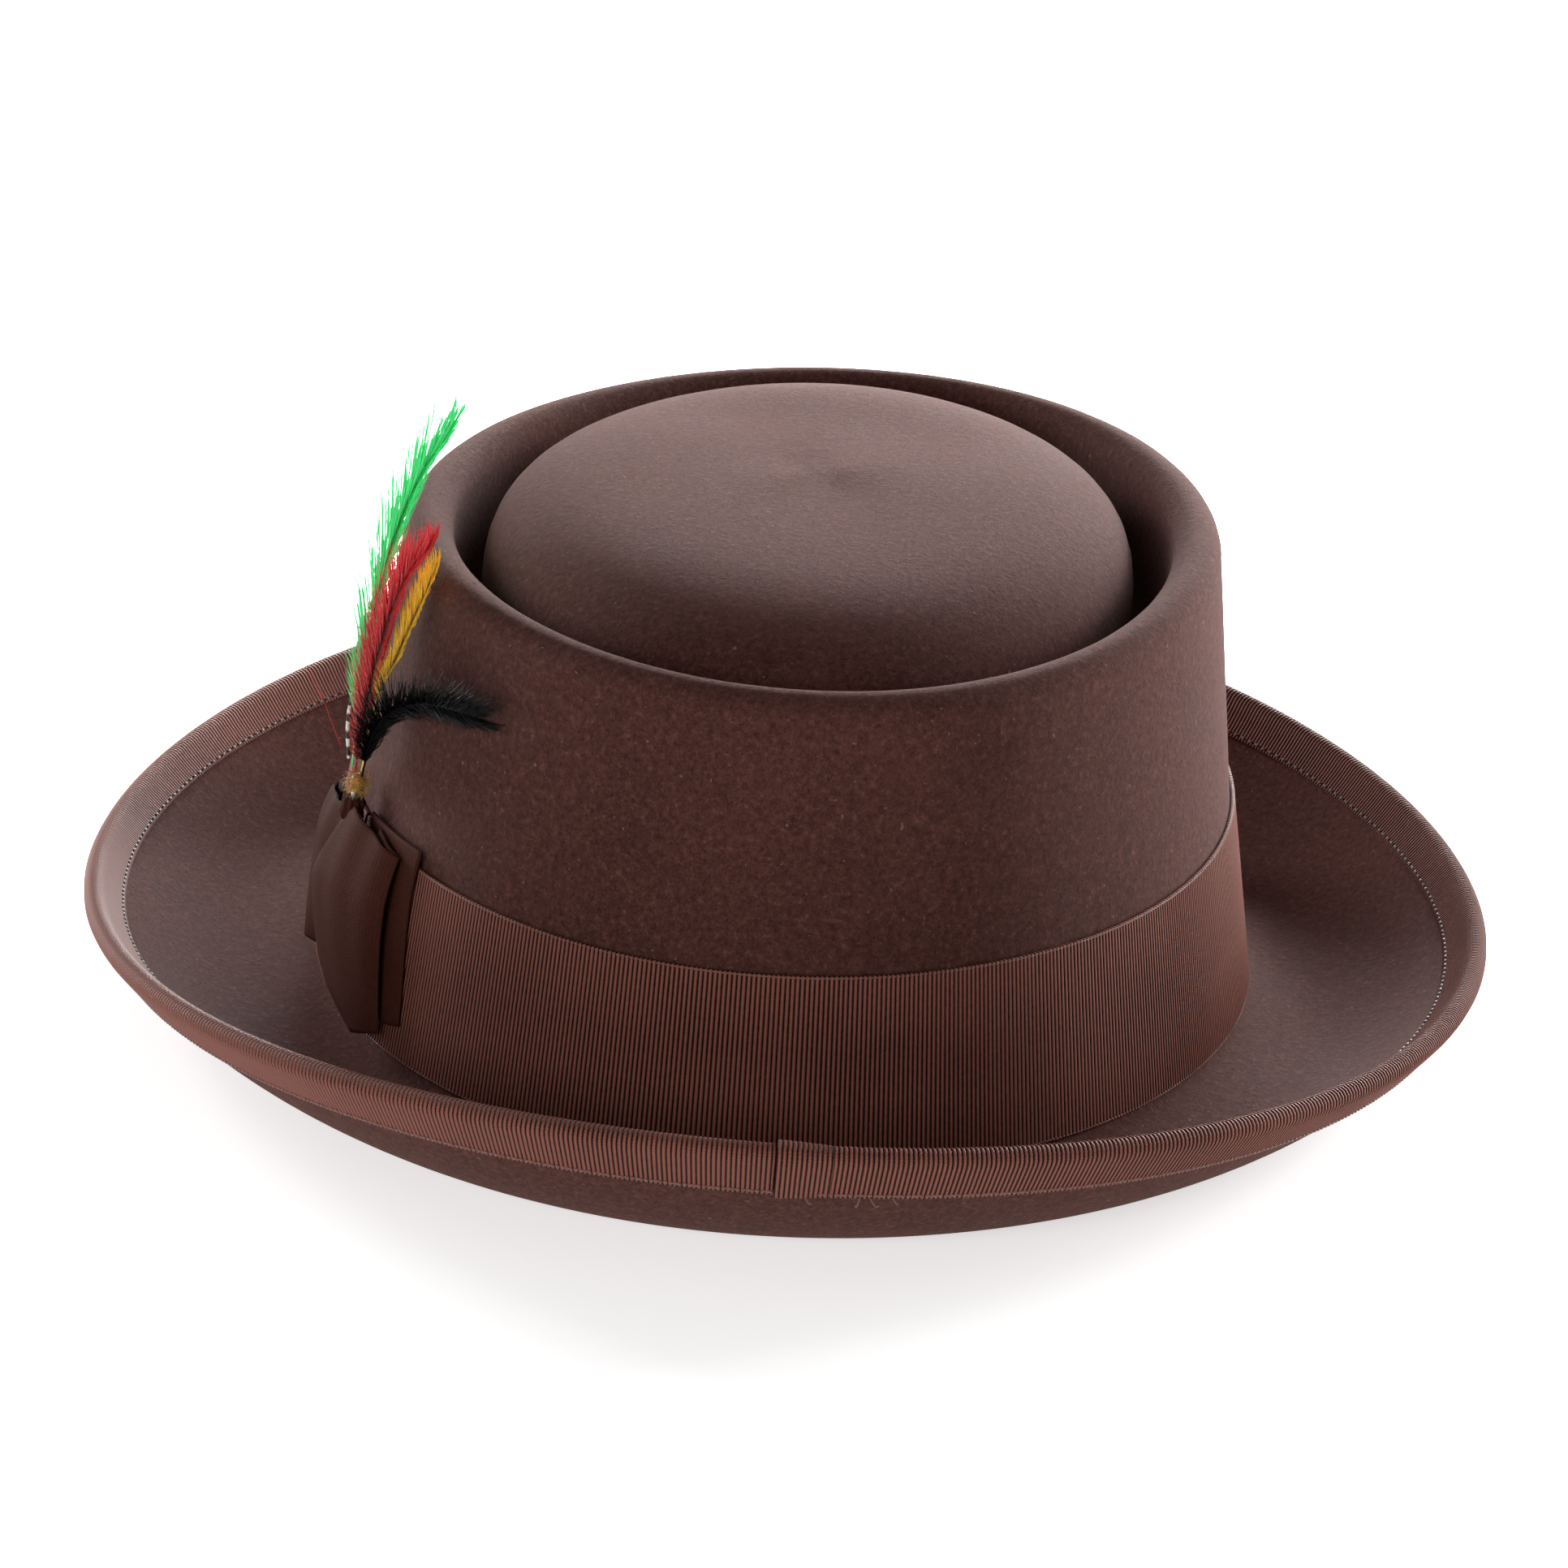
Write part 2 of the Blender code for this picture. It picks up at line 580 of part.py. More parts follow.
# ---------------------------------------------------------------- build
def main():
    for old in list(bpy.data.objects):
        bpy.data.objects.remove(old, do_unlink=True)
    brown_felt, brown_ribbon = (0.072, 0.031, 0.025), (0.090, 0.036, 0.028)
    dark_ribbon, thread = (0.052, 0.019, 0.014), (0.060, 0.024, 0.020)
    build_felt(make_material("felt", brown_felt, 0.95))
    build_binding(make_material("binding_ribbon", brown_ribbon, 0.7),
                  make_material("lap_ribbon", brown_ribbon, 0.7),
                  make_material("top_thread", thread, 0.6),
                  make_material("under_thread", thread, 0.6))
    build_hatband(make_material("band_ribbon", brown_ribbon, 0.7))
    build_bow(make_material("loop_ribbon", dark_ribbon, 0.5),
              make_material("back_ribbon", dark_ribbon, 0.5),
              make_material("wing_ribbon", dark_ribbon, 0.5),
              make_material("wrap_ribbon", dark_ribbon, 0.5))
    build_feathers({
        "stem": make_material("stem_wire", (0.25, 0.24, 0.22), 0.4),
        "collar": make_material("collar_fluff", (0.55, 0.33, 0.03), 0.9),
        "green": make_material("green_vane", (0.03, 0.55, 0.16), 0.7),
        "red": make_material("red_vane", (0.33, 0.010, 0.012), 0.7),
        "yellow": make_material("yellow_vane", (0.75, 0.36, 0.02), 0.7),
        "black": make_material("black_vane", (0.012, 0.012, 0.013), 0.7),
        "quill": make_material("quill_bars", (0.55, 0.55, 0.53), 0.6),
        "filament": make_material("filament_red", (0.35, 0.012, 0.012), 0.6)})
    build_inside({
        "lining": make_material("lining_satin", (0.060, 0.028, 0.022), 0.35),
        "tip": make_material("tip_satin", (0.060, 0.028, 0.022), 0.35),
        "piping": make_material("piping_cord", (0.050, 0.022, 0.018), 0.5),
        "sweatband": make_material("sweatband_leather", (0.085, 0.040, 0.022), 0.5),
        "sweat_thread": make_material("sweatband_thread", (0.10, 0.055, 0.035), 0.6),
        "reed": make_material("reed_plastic", (0.10, 0.06, 0.04), 0.5),
        "sweat_bow": make_material("inside_bow_ribbon", dark_ribbon, 0.6)})


main()
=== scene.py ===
# %% [markdown]
# # A brown felt hat, made in Blender
# The hat has a telescope crown: a rolled rim, a deep groove and a low dome inside it. The brim is
# curled up all round and its edge is bound with ribbed ribbon. A wide ribbon goes round the crown
# and ends in a bow, and a small bunch of dyed feathers is tucked into the bow.
# The solid model comes first, as a fixed frame. Its boxes tell every later piece where to sit.

# %% Load the frame
import json
import math

import bpy
import numpy as np
from mathutils import Matrix, Vector

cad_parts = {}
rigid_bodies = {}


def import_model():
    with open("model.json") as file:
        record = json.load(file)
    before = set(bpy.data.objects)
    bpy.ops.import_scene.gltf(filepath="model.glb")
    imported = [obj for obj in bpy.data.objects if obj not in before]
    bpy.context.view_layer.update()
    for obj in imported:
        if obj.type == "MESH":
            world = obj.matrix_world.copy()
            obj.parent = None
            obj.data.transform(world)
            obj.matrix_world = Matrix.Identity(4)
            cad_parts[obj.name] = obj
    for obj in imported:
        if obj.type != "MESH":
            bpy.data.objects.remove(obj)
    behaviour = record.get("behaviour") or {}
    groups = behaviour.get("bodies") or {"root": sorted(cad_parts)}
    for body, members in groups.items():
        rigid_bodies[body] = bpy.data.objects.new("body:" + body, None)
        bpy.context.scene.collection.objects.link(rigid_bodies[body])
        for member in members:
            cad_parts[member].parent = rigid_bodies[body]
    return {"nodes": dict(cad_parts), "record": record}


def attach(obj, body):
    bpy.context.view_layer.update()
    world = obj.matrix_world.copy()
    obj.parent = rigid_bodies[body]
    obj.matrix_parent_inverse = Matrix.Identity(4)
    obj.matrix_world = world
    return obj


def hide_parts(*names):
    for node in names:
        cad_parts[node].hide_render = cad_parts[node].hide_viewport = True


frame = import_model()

MM = 0.001
scene = bpy.context.scene
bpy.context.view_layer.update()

# %% [markdown]
# ## Node trees written as expressions
# A material is a chain of small sums. Writing `light * 0.3 + grain` is easier to read than a list
# of nodes and links, so `Signal` wraps one socket and its operators add Math nodes. `Tree` adds
# every other node: it takes the node's type, its settings and what its sockets are fed with.

# %% A small language for nodes
class Signal:
    """One output socket; sums on it add Math nodes to its tree."""

    def __init__(self, tree, socket):
        self.tree, self.socket = tree, socket

    def sum_with(self, operation, a, b=0.0, clamp=False):
        return self.tree.add("ShaderNodeMath", {0: a, 1: b},
                             operation=operation, use_clamp=clamp)

    def __add__(self, other): return self.sum_with("ADD", self, other)
    def __radd__(self, other): return self.sum_with("ADD", other, self)
    def __sub__(self, other): return self.sum_with("SUBTRACT", self, other)
    def __rsub__(self, other): return self.sum_with("SUBTRACT", other, self)
    def __mul__(self, other): return self.sum_with("MULTIPLY", self, other)
    def __rmul__(self, other): return self.sum_with("MULTIPLY", other, self)
    def __truediv__(self, other): return self.sum_with("DIVIDE", self, other)
    def __pow__(self, other): return self.sum_with("POWER", self, other)
    def __gt__(self, other): return self.sum_with("GREATER_THAN", self, other)
    def sine(self): return self.sum_with("SINE", self)
    def size(self): return self.sum_with("ABSOLUTE", self)
    def held(self): return self.sum_with("ADD", self, 0.0, clamp=True)
    def fraction(self): return self.sum_with("FRACT", self)


class Tree:
    """A node tree under construction, for a shader or for Geometry Nodes."""

    def __init__(self, tree):
        self.tree = tree

    def add(self, kind, feeds=None, out=0, **settings):
        node = self.tree.nodes.new(kind)
        for key, value in settings.items():
            setattr(node, key, value)
        for key, value in (feeds or {}).items():
            self.feed(node.inputs[key], value)
        return Signal(self, node.outputs[out])

    def feed(self, socket, value):
        if isinstance(value, Signal):
            self.tree.links.new(value.socket, socket)
        elif isinstance(value, tuple) and len(value) == 3 and socket.type == "RGBA":
            socket.default_value = (*value, 1.0)
        else:
            socket.default_value = value

    def part(self, signal, out):
        """Another output of the node that made this signal."""
        return Signal(self, signal.socket.node.outputs[out])

    def blend(self, amount, dark, light, **settings):
        """Mix two colours by a number from 0 to 1."""
        return self.add("ShaderNodeMix", {0: amount, 6: dark, 7: light}, out=2,
                        data_type="RGBA", **settings)

    def ramp(self, value, stops):
        """Read a number through a curve of straight pieces: (place, height) pairs."""
        signal = self.add("ShaderNodeValToRGB", {0: value})
        elements = signal.socket.node.color_ramp.elements
        while len(elements) < len(stops):
            elements.new(0.5)
        for element, (place, height) in zip(elements, stops):
            element.position = place
            element.color = (height, height, height, 1.0)
        return signal


class Finish(Tree):
    """A material: a Principled shader and the tree that feeds it."""

    def __init__(self, name, **constants):
        self.material = bpy.data.materials.new(name)
        self.material.use_nodes = True
        super().__init__(self.material.node_tree)
        self.shader = self.tree.nodes["Principled BSDF"]
        for key, value in constants.items():
            self.feed(self.shader.inputs[key.replace("_", " ")], value)

    def place(self, scale=(1.0, 1.0, 1.0)):
        """Object coordinates in metres, stretched by a scale."""
        spot = self.add("ShaderNodeTexCoord", out=3)
        return self.add("ShaderNodeMapping", {"Vector": spot, "Scale": scale})

    def cloth(self, name):
        """A piece's own UV map, in metres along and across the ribbon."""
        spot = self.add("ShaderNodeUVMap", uv_map=name)
        axes = self.add("ShaderNodeSeparateXYZ", {0: spot})
        return axes, self.part(axes, 1)

    def noise(self, scale, detail=2.0, roughness=0.5, stretch=(1.0, 1.0, 1.0), twist=0.0):
        return self.add("ShaderNodeTexNoise",
                        {"Vector": self.place(stretch), "Scale": scale, "Detail": detail,
                         "Roughness": roughness, "Distortion": twist})

    def wear(self, colour=None, roughness=None, height=None, depth=0.0001, alpha=None):
        """Connect what varies: colour, roughness, bump height and see-through."""
        if colour is not None:
            self.feed(self.shader.inputs["Base Color"], colour)
        if roughness is not None:
            self.feed(self.shader.inputs["Roughness"], roughness)
        if alpha is not None:
            self.feed(self.shader.inputs["Alpha"], alpha)
        if height is not None:
            bump = self.add("ShaderNodeBump", {"Height": height, "Distance": depth})
            self.feed(self.shader.inputs["Normal"], bump)
        return self.material


# %% [markdown]
# ## Camera
# The camera comes early, so each new piece can be looked at. It stands behind the hat and a little
# to its left, about twenty degrees up, with a long lens, and it is tipped a few degrees.

# %% Camera
LOOK_AT = Vector((-1.96, -0.15, 38.6)) * MM
CAMERA_TURN, CAMERA_RISE, CAMERA_TIP = (math.radians(a) for a in (4.3, 21.6, 3.7))
CAMERA_DISTANCE, LENS = 1.246, 147.8

back = Vector((math.sin(CAMERA_TURN) * math.cos(CAMERA_RISE),
               -math.cos(CAMERA_TURN) * math.cos(CAMERA_RISE), math.sin(CAMERA_RISE)))
camera = bpy.data.objects.new("camera", bpy.data.cameras.new("camera"))
camera.data.lens, camera.data.sensor_width = LENS, 36.0
camera.data.clip_start = 0.05
camera.matrix_world = (Matrix.Translation(LOOK_AT + back * CAMERA_DISTANCE)
                       @ (-back).to_track_quat("-Z", "Y").to_matrix().to_4x4()
                       @ Matrix.Rotation(CAMERA_TIP, 4, "Z"))
scene.collection.objects.link(camera)
scene.camera = camera
print("camera stands at", [round(v, 3) for v in camera.location])

# %% [markdown]
# ## From grids of points to pieces
# Nearly every part of a hat is a sheet bent round an oval, so nearly every mesh here is a grid.
# `skin` turns rows of points into quads. It can close the grid round one or both ways, gather an
# end row into a pole, and lay a UV map on it that counts metres along and across the cloth.

# %% Grid skins
def skin(name, points, wrap_rows=False, wrap_columns=False, poles=False, uv=None):
    """A mesh object from points[row, column]; uv[row, column] is optional."""
    rows, columns = points.shape[:2]
    index = np.arange(rows * columns).reshape(rows, columns)
    if poles:
        index[0, :], index[-1, :] = index[0, 0], index[-1, 0]
    if wrap_rows:
        index = np.vstack([index, index[:1]])
    if wrap_columns:
        index = np.hstack([index, index[:, :1]])
    quads = np.stack([index[:-1, :-1], index[:-1, 1:], index[1:, 1:], index[1:, :-1]], -1)
    faces = []
    for quad in quads.reshape(-1, 4).tolist():
        corners = list(dict.fromkeys(quad))
        if len(corners) > 2:
            faces.append(corners)
    flat = points.reshape(-1, 3)
    used, places = np.unique(np.concatenate([np.array(f) for f in faces]),
                             return_inverse=True)
    mesh = bpy.data.meshes.new(name)
    sizes = np.array([len(f) for f in faces])
    mesh.vertices.add(len(used))
    mesh.vertices.foreach_set("co", flat[used].astype(np.float32).ravel())
    mesh.loops.add(len(places))
    mesh.loops.foreach_set("vertex_index", places.astype(np.int32))
    mesh.polygons.add(len(faces))
    mesh.polygons.foreach_set("loop_start", (np.cumsum(sizes) - sizes).astype(np.int32))
    mesh.update(calc_edges=True)
    if uv is not None:
        layer = mesh.uv_layers.new(name="Cloth")
        layer.data.foreach_set("uv", uv.reshape(-1, 2)[used][places]
                               .astype(np.float32).ravel())
    mesh.shade_smooth()
    piece = bpy.data.objects.new(name, mesh)
    scene.collection.objects.link(piece)
    return piece


def turned_out(piece):
    """Recalculate a closed piece's normals so that its faces point outwards."""
    import bmesh
    work = bmesh.new()
    work.from_mesh(piece.data)
    bmesh.ops.recalc_face_normals(work, faces=work.faces)
    work.to_mesh(piece.data)
    work.free()
    return piece


def finished(piece, material, body, *nodes, slot=None):
    """Give a piece its material and its body, and hide the CAD nodes it stands for."""
    piece.data.materials.clear()
    piece.data.materials.append(material)
    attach(piece, body)
    if nodes:
        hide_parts(*nodes)
        slot = slot or next(m["material_slot"] for m in frame["record"]["subparts"]
                            if m["node"] == nodes[0])
    triangles = sum(len(f.vertices) - 2 for f in piece.data.polygons)
    print(f"{piece.name}: {triangles} triangles")
    return piece


def unit(vectors):
    return vectors / np.maximum(np.linalg.norm(vectors, axis=-1, keepdims=True), 1e-12)


def surface_normals(points, wrap_columns=True):
    """Normals of a grid on its outer side, for rows that run down and out."""
    down = np.gradient(points, axis=0)
    if wrap_columns:
        round_ = np.roll(points, -1, axis=1) - np.roll(points, 1, axis=1)
    else:
        round_ = np.gradient(points, axis=1)
    return unit(np.cross(down, round_))


# %% [markdown]
# ## The felt body
# A felt hat is blocked: one cone of wool felt is steamed and pulled over a wooden block, so crown,
# groove, dome and brim are a single surface. It is drawn here as one profile swept round an oval.
# The dome's profile is a superellipse, the rim is a small roll, the wall is nearly straight, and
# the brim dips below the crown's foot before it curls up. The front and back curl highest.

# %% Felt measures
FELT = 2.35 * MM
WALL_FOOT = np.array([90.15, 105.3, 5.1]) * MM       # half width, half length, height
WALL_WAIST = np.array([84.0, 102.4, 42.7]) * MM      # where the ribbon's top edge lies
RIM = np.array([72.8, 93.4, 89.3]) * MM
ROLL = 4.8 * MM
DOME = np.array([62.0, 84.5]) * MM
DOME_FOOT, DOME_TOP, DOME_POWER = 77.5 * MM, 103.0 * MM, 3.4
GROOVE_TOP, GROOVE_FLOOR = 71.5 * MM, 68.5 * MM
BRIM_EDGE = np.array([133.0, 142.1]) * MM
BRIM_START, BRIM_HEIGHT, BRIM_CURL, BRIM_TILT = (v * MM for v in (4.75, 22.1, 4.55, 0.94))


def rim_wave(theta):
    """Small rises and dips that a hand-shaped rim keeps."""
    return (0.8 * np.cos(theta) + 1.1 * np.sin(2 * theta + 0.6)) * MM


def oval(half_x, half_y, z, theta):
    x, y, z = np.broadcast_arrays(half_x * np.cos(theta), half_y * np.sin(theta), z)
    return np.stack([x, y, z], -1)


def wall_oval(z):
    """The crown wall's half width and half length at a height."""
    z = np.asarray(z, float)
    low = (z - WALL_FOOT[2]) / (WALL_WAIST[2] - WALL_FOOT[2])
    high = (z - WALL_WAIST[2]) / (RIM[2] - WALL_WAIST[2])
    under = [WALL_FOOT[i] + (WALL_WAIST[i] - WALL_FOOT[i]) * low for i in (0, 1)]
    over = [WALL_WAIST[i] + (RIM[i] + ROLL - WALL_WAIST[i]) * high for i in (0, 1)]
    return [np.where(z < WALL_WAIST[2], u, o) for u, o in zip(under, over)]


def brim_top(theta, s):
    """The brim's upper side; s is 0 at the crown and 1 at the edge."""
    edge = (BRIM_HEIGHT - BRIM_CURL * np.cos(2 * theta) + BRIM_TILT * np.cos(theta)
            - 0.3 * MM * np.sin(2 * theta) + 0.5 * MM * np.cos(3 * theta))
    lift = 1.69 * s ** 2.53 - 0.69 * s
    return oval(WALL_FOOT[0] + (BRIM_EDGE[0] - WALL_FOOT[0]) * s,
                WALL_FOOT[1] + (BRIM_EDGE[1] - WALL_FOOT[1]) * s,
                BRIM_START + (edge - BRIM_START) * lift, theta)


# %% Felt profile and dents
def crown_profile():
    """Rows of (half width, half length, height, share of the rim's wave)."""
    rows = []
    reach = np.concatenate([np.linspace(0.02, 0.86, 20) ** 0.9, [0.90, 0.93, 0.955]])
    for r in reach:
        rows.append((*DOME * r, DOME_FOOT + (DOME_TOP - DOME_FOOT)
                     * (1 - r ** DOME_POWER) ** (1 / DOME_POWER), 0.3))
    for h in (0.5, 0.38, 0.25, 0.12, 0.0):
        r = (1 - h ** DOME_POWER) ** (1 / DOME_POWER)
        rows.append((*DOME * r, DOME_FOOT + (DOME_TOP - DOME_FOOT) * h, 0.3))
    lip = RIM[:2] - ROLL
    for turn in np.radians(np.linspace(0, 180, 9)):
        t = (1 - math.cos(turn)) / 2
        rows.append((*(DOME + (lip - DOME) * t),
                     GROOVE_TOP - (GROOVE_TOP - GROOVE_FLOOR) * math.sin(turn), 0.3))
    for z in (76 * MM, 81 * MM, 85 * MM):
        rows.append((*lip, z, 0.3 + 0.7 * (z - GROOVE_TOP) / (RIM[2] - GROOVE_TOP)))
    for roll in np.radians(np.linspace(180, -4, 13)):
        # the inner lip is crisper than the outer shoulder
        stretch = 1.0 if math.cos(roll) > 0 else 0.96
        rows.append((*(RIM[:2] + ROLL * math.cos(roll) * stretch),
                     RIM[2] + ROLL * math.sin(roll), 1.0))
    for z in np.linspace(86, 9, 18) * MM:
        wave = max(0.0, (z - WALL_WAIST[2]) / (RIM[2] - WALL_WAIST[2]))
        rows.append((*(float(v) for v in wall_oval(z)), z, wave))
    return np.array(rows)


def felt_top(theta):
    """Outer felt surface as points[row, column], from the dome's top to the brim's edge."""
    profile = crown_profile()
    half_x, half_y, z, wave = (profile[:, i:i + 1] for i in range(4))
    crown = oval(half_x, half_y, z + wave * rim_wave(theta)[None], theta[None])
    crown[..., 0] += wave * 0.8 * MM
    on_dome = (np.arange(len(profile)) < 26)[:, None]
    dents = sum(depth * np.exp(-((crown[..., 0] / MM - x) ** 2 / 2 / wide ** 2
                                 + (crown[..., 1] / MM - y) ** 2 / 2 / long ** 2))
                for x, y, wide, long, depth in ((-14, 38, 16, 13, 1.1), (22, 30, 13, 16, 1.0),
                                                (4, -20, 26, 30, 0.7), (-30, -5, 14, 24, 0.5)))
    crown[..., 2] -= on_dome * dents * MM
    brim = brim_top(theta[None], BRIM_ROWS[:, None])
    return np.concatenate([crown, brim], 0)


BINDING_START = 0.892
BRIM_ROWS = np.concatenate([[0.012, 0.03, 0.055], np.linspace(0.09, 0.875, 27),
                            [BINDING_START, 0.905, 0.922, 0.945, 0.972, 1.0]])


def relaxed(points, rows, passes=2):
    """Soften a fold by averaging each row with its two neighbours."""
    for _ in range(passes):
        middle = points[rows]
        around = (points[[r - 1 for r in rows]] + points[[r + 1 for r in rows]]) / 2
        points[rows] = (middle + around) / 2
    return points


def edge_turn(top, below, steps=5):
    """Rows that round the brim's cut edge from its upper to its under side."""
    middle, radius = (top[-1] + below[-1]) / 2, (top[-1] - below[-1]) / 2
    out = unit(top[-1] - top[-2]) * FELT / 2
    turns = np.linspace(0, math.pi, steps + 2)[1:-1]
    return np.stack([middle + radius * math.cos(t) + out * math.sin(t) for t in turns])


def felt_sides(theta, wrap=True):
    """Upper and under side of the whole felt, with the table's flat pressed in."""
    top = felt_top(theta)
    foot = len(crown_profile())
    top = relaxed(top, list(range(foot - 1, foot + 4)))
    below = top - surface_normals(top, wrap) * FELT
    below[..., 2] = np.maximum(below[..., 2], 0.0)
    return top, below


def build_felt():
    theta = np.linspace(0, math.tau, 240, endpoint=False)
    top, below = felt_sides(theta)
    top[0] = top[0].mean(0)
    below[0] = below[0].mean(0)
    loops = np.concatenate([top, edge_turn(top, below), below[::-1]])
    return turned_out(skin("felt_shell", loops, wrap_columns=True, poles=True))


felt_piece = build_felt()

# %% [markdown]
# ## Felt as a material
# Wool felt is a mat of short dyed fibres. Close up it is mottled, never flat: fibres of several
# browns lie across each other, and a few pale ones catch the light. Sheen gives the soft glow that
# fibres make at a grazing angle. Noise at three sizes makes the mottling and the fine bump.

# %% Felt finish
def felt_finish(name, deep, middle, light):
    finish = Finish(name, Sheen_Weight=0.10, Sheen_Roughness=0.5,
                    Sheen_Tint=(0.85, 0.50, 0.44), Specular_IOR_Level=0.08)
    clouds = finish.noise(34, 3.0, 0.6)
    tufts = finish.noise(780, 4.0, 0.75)
    fibres = finish.noise(1900, 3.0, 0.8, twist=1.2)
    specks = finish.noise(1150, 0.0, 0.5)
    tone = (0.5 + (clouds - 0.5) * 0.55 + (tufts - 0.5) * 2.0 + (fibres - 0.5) * 2.2).held()
    colour = finish.blend(tone, deep, middle)
    colour = finish.blend(finish.ramp(tufts, [(0.58, 0.0), (0.76, 0.5)]), colour, light)
    lint = finish.ramp(specks, [(0.83, 0.0), (0.86, 1.0)])
    colour = finish.blend(lint * 0.22, colour, (0.42, 0.33, 0.30))
    height = tufts * 0.6 + fibres * 0.4
    return finish.wear(colour, 0.88 + (clouds - 0.5) * 0.15, height, 0.00035)


wool = felt_finish("wool_felt", (0.030, 0.0100, 0.0078), (0.100, 0.0370, 0.0295),
                   (0.170, 0.078, 0.066))
finished(felt_piece, wool, "hat", "felt_body")

# %% [markdown]
# ## Nap
# Along every outline of real felt there is a haze of fibres. Geometry Nodes scatter points over
# the shell and stand one thin pointed fibre on each, leaning at random. A fixed seed keeps the
# scatter the same every time.

# %% A fibre, a stitch: shapes that repeat
def spike(name, sides, rings):
    """A thin closed shape from rings of (height, radius, lean), for instancing."""
    turns = np.arange(sides) / sides * math.tau
    grid = np.array([[(r * math.cos(t) + lean, r * math.sin(t), z) for t in turns]
                     for z, r, lean in rings])
    return turned_out(skin(name, grid, wrap_columns=True, poles=True))


class Pattern(Tree):
    """A Geometry Nodes tree with named inputs, used once on one object."""

    def __init__(self, name, **inputs):
        group = bpy.data.node_groups.new(name, "GeometryNodeTree")
        super().__init__(group)
        self.ids = {}
        group.interface.new_socket("Geometry", in_out="INPUT",
                                   socket_type="NodeSocketGeometry")
        for label, value in inputs.items():
            kind = {int: "NodeSocketInt", float: "NodeSocketFloat"}.get(type(value))
            if kind is None:
                kind = ("NodeSocketObject" if isinstance(value, bpy.types.Object)
                        else "NodeSocketMaterial")
            socket = group.interface.new_socket(label, in_out="INPUT", socket_type=kind)
            self.ids[label] = socket.identifier
        group.interface.new_socket("Geometry", in_out="OUTPUT",
                                   socket_type="NodeSocketGeometry")
        self.values = inputs
        self.source = group.nodes.new("NodeGroupInput")

    def input(self, label):
        return Signal(self, self.source.outputs[label])

    def close(self, geometry):
        """Realize the instances, set the material and end the tree."""
        solid = self.add("GeometryNodeRealizeInstances", {0: geometry})
        dressed = self.add("GeometryNodeSetMaterial",
                           {"Geometry": solid, "Material": self.input("Material")})
        self.add_output(dressed)

    def add_output(self, geometry):
        end = self.tree.nodes.new("NodeGroupOutput")
        self.tree.links.new(geometry.socket, end.inputs[0])

    def grown_on(self, base, name):
        """Run the tree on an object and return the result as a plain mesh object."""
        modifier = base.modifiers.new("pattern", "NODES")
        modifier.node_group = self.tree
        for label, value in self.values.items():
            modifier[self.ids[label]] = value
        graph = bpy.context.evaluated_depsgraph_get()
        mesh = bpy.data.meshes.new_from_object(base.evaluated_get(graph))
        base.modifiers.remove(modifier)
        mesh.name = name
        piece = bpy.data.objects.new(name, mesh)
        scene.collection.objects.link(piece)
        return piece


# %% Nap on the felt
def nap_tree(fibre, material):
    tree = Pattern("nap", Fibre=fibre, Density=2.3e5, Length=1.0, Seed=4, Material=material)
    spread = tree.add("GeometryNodeDistributePointsOnFaces",
                      {"Mesh": tree.input("Geometry"), "Density": tree.input("Density"),
                       "Seed": tree.input("Seed")})
    upright = tree.part(spread, "Rotation")
    lean = tree.add("FunctionNodeRandomValue",
                    {"Min": (-0.95, -0.95, 0.0), "Max": (0.95, 0.95, 6.28),
                     "Seed": tree.input("Seed")}, data_type="FLOAT_VECTOR")
    leaning = tree.add("FunctionNodeRotateRotation",
                       {"Rotation": upright, "Rotate By": lean}, rotation_space="LOCAL")
    length = tree.add("FunctionNodeRandomValue", {2: 0.35, 3: 1.0, "Seed": 9}, out=1)
    shape = tree.add("GeometryNodeObjectInfo", {"Object": tree.input("Fibre")}, out=4)
    stood = tree.add("GeometryNodeInstanceOnPoints",
                     {"Points": spread, "Instance": shape, "Rotation": leaning,
                      "Scale": length * tree.input("Length")})
    tree.close(stood)
    return tree


def build_nap():
    theta = np.linspace(0, math.tau, 120, endpoint=False)
    top, _ = felt_sides(theta)
    cover = skin("nap_ground", top[::-2], wrap_columns=True)
    fibre = spike("fibre", 3, [(0.0, 0.0, 0.0), (0.0, 0.026 * MM, 0.0),
                               (0.55 * MM, 0.0, 0.15 * MM)])
    nap = nap_tree(fibre, wool_nap).grown_on(cover, "felt_nap")
    for helper in (cover, fibre):
        bpy.data.objects.remove(helper)
    return nap


wool_nap = felt_finish("wool_nap", (0.052, 0.019, 0.016), (0.12, 0.049, 0.041),
                       (0.20, 0.10, 0.088))
nap_piece = build_nap()
nap_piece.data.shade_smooth()
finished(nap_piece, wool_nap, "hat", slot="felt")

# %% [markdown]
# ## Ribbed ribbon
# The band, the binding and the bow are grosgrain: fat cords run across the ribbon, and each shows
# as a small rounded rib. The ribs are real geometry. A strip is a closed section swept round the
# hat in steps of a third of a rib, and every third step sinks back to make the valley.

# %% Ribbon measures and strip maker
RIB_PITCH = 0.86 * MM
RIB_HEIGHT = 0.15 * MM
RIB_STEPS = 3


def rib_angles(start, stop, half_x, half_y):
    """Angles from start to stop, in degrees, spaced evenly along an oval by rib steps."""
    fine = np.radians(np.linspace(start, stop, 4000))
    line = oval(half_x, half_y, 0.0, fine)
    run = np.concatenate([[0], np.cumsum(np.linalg.norm(np.diff(line, axis=0), axis=1))])
    ribs = max(2, round(run[-1] / RIB_PITCH))
    steps = np.linspace(0, run[-1], ribs * RIB_STEPS + 1)
    return np.interp(steps, run, fine), steps


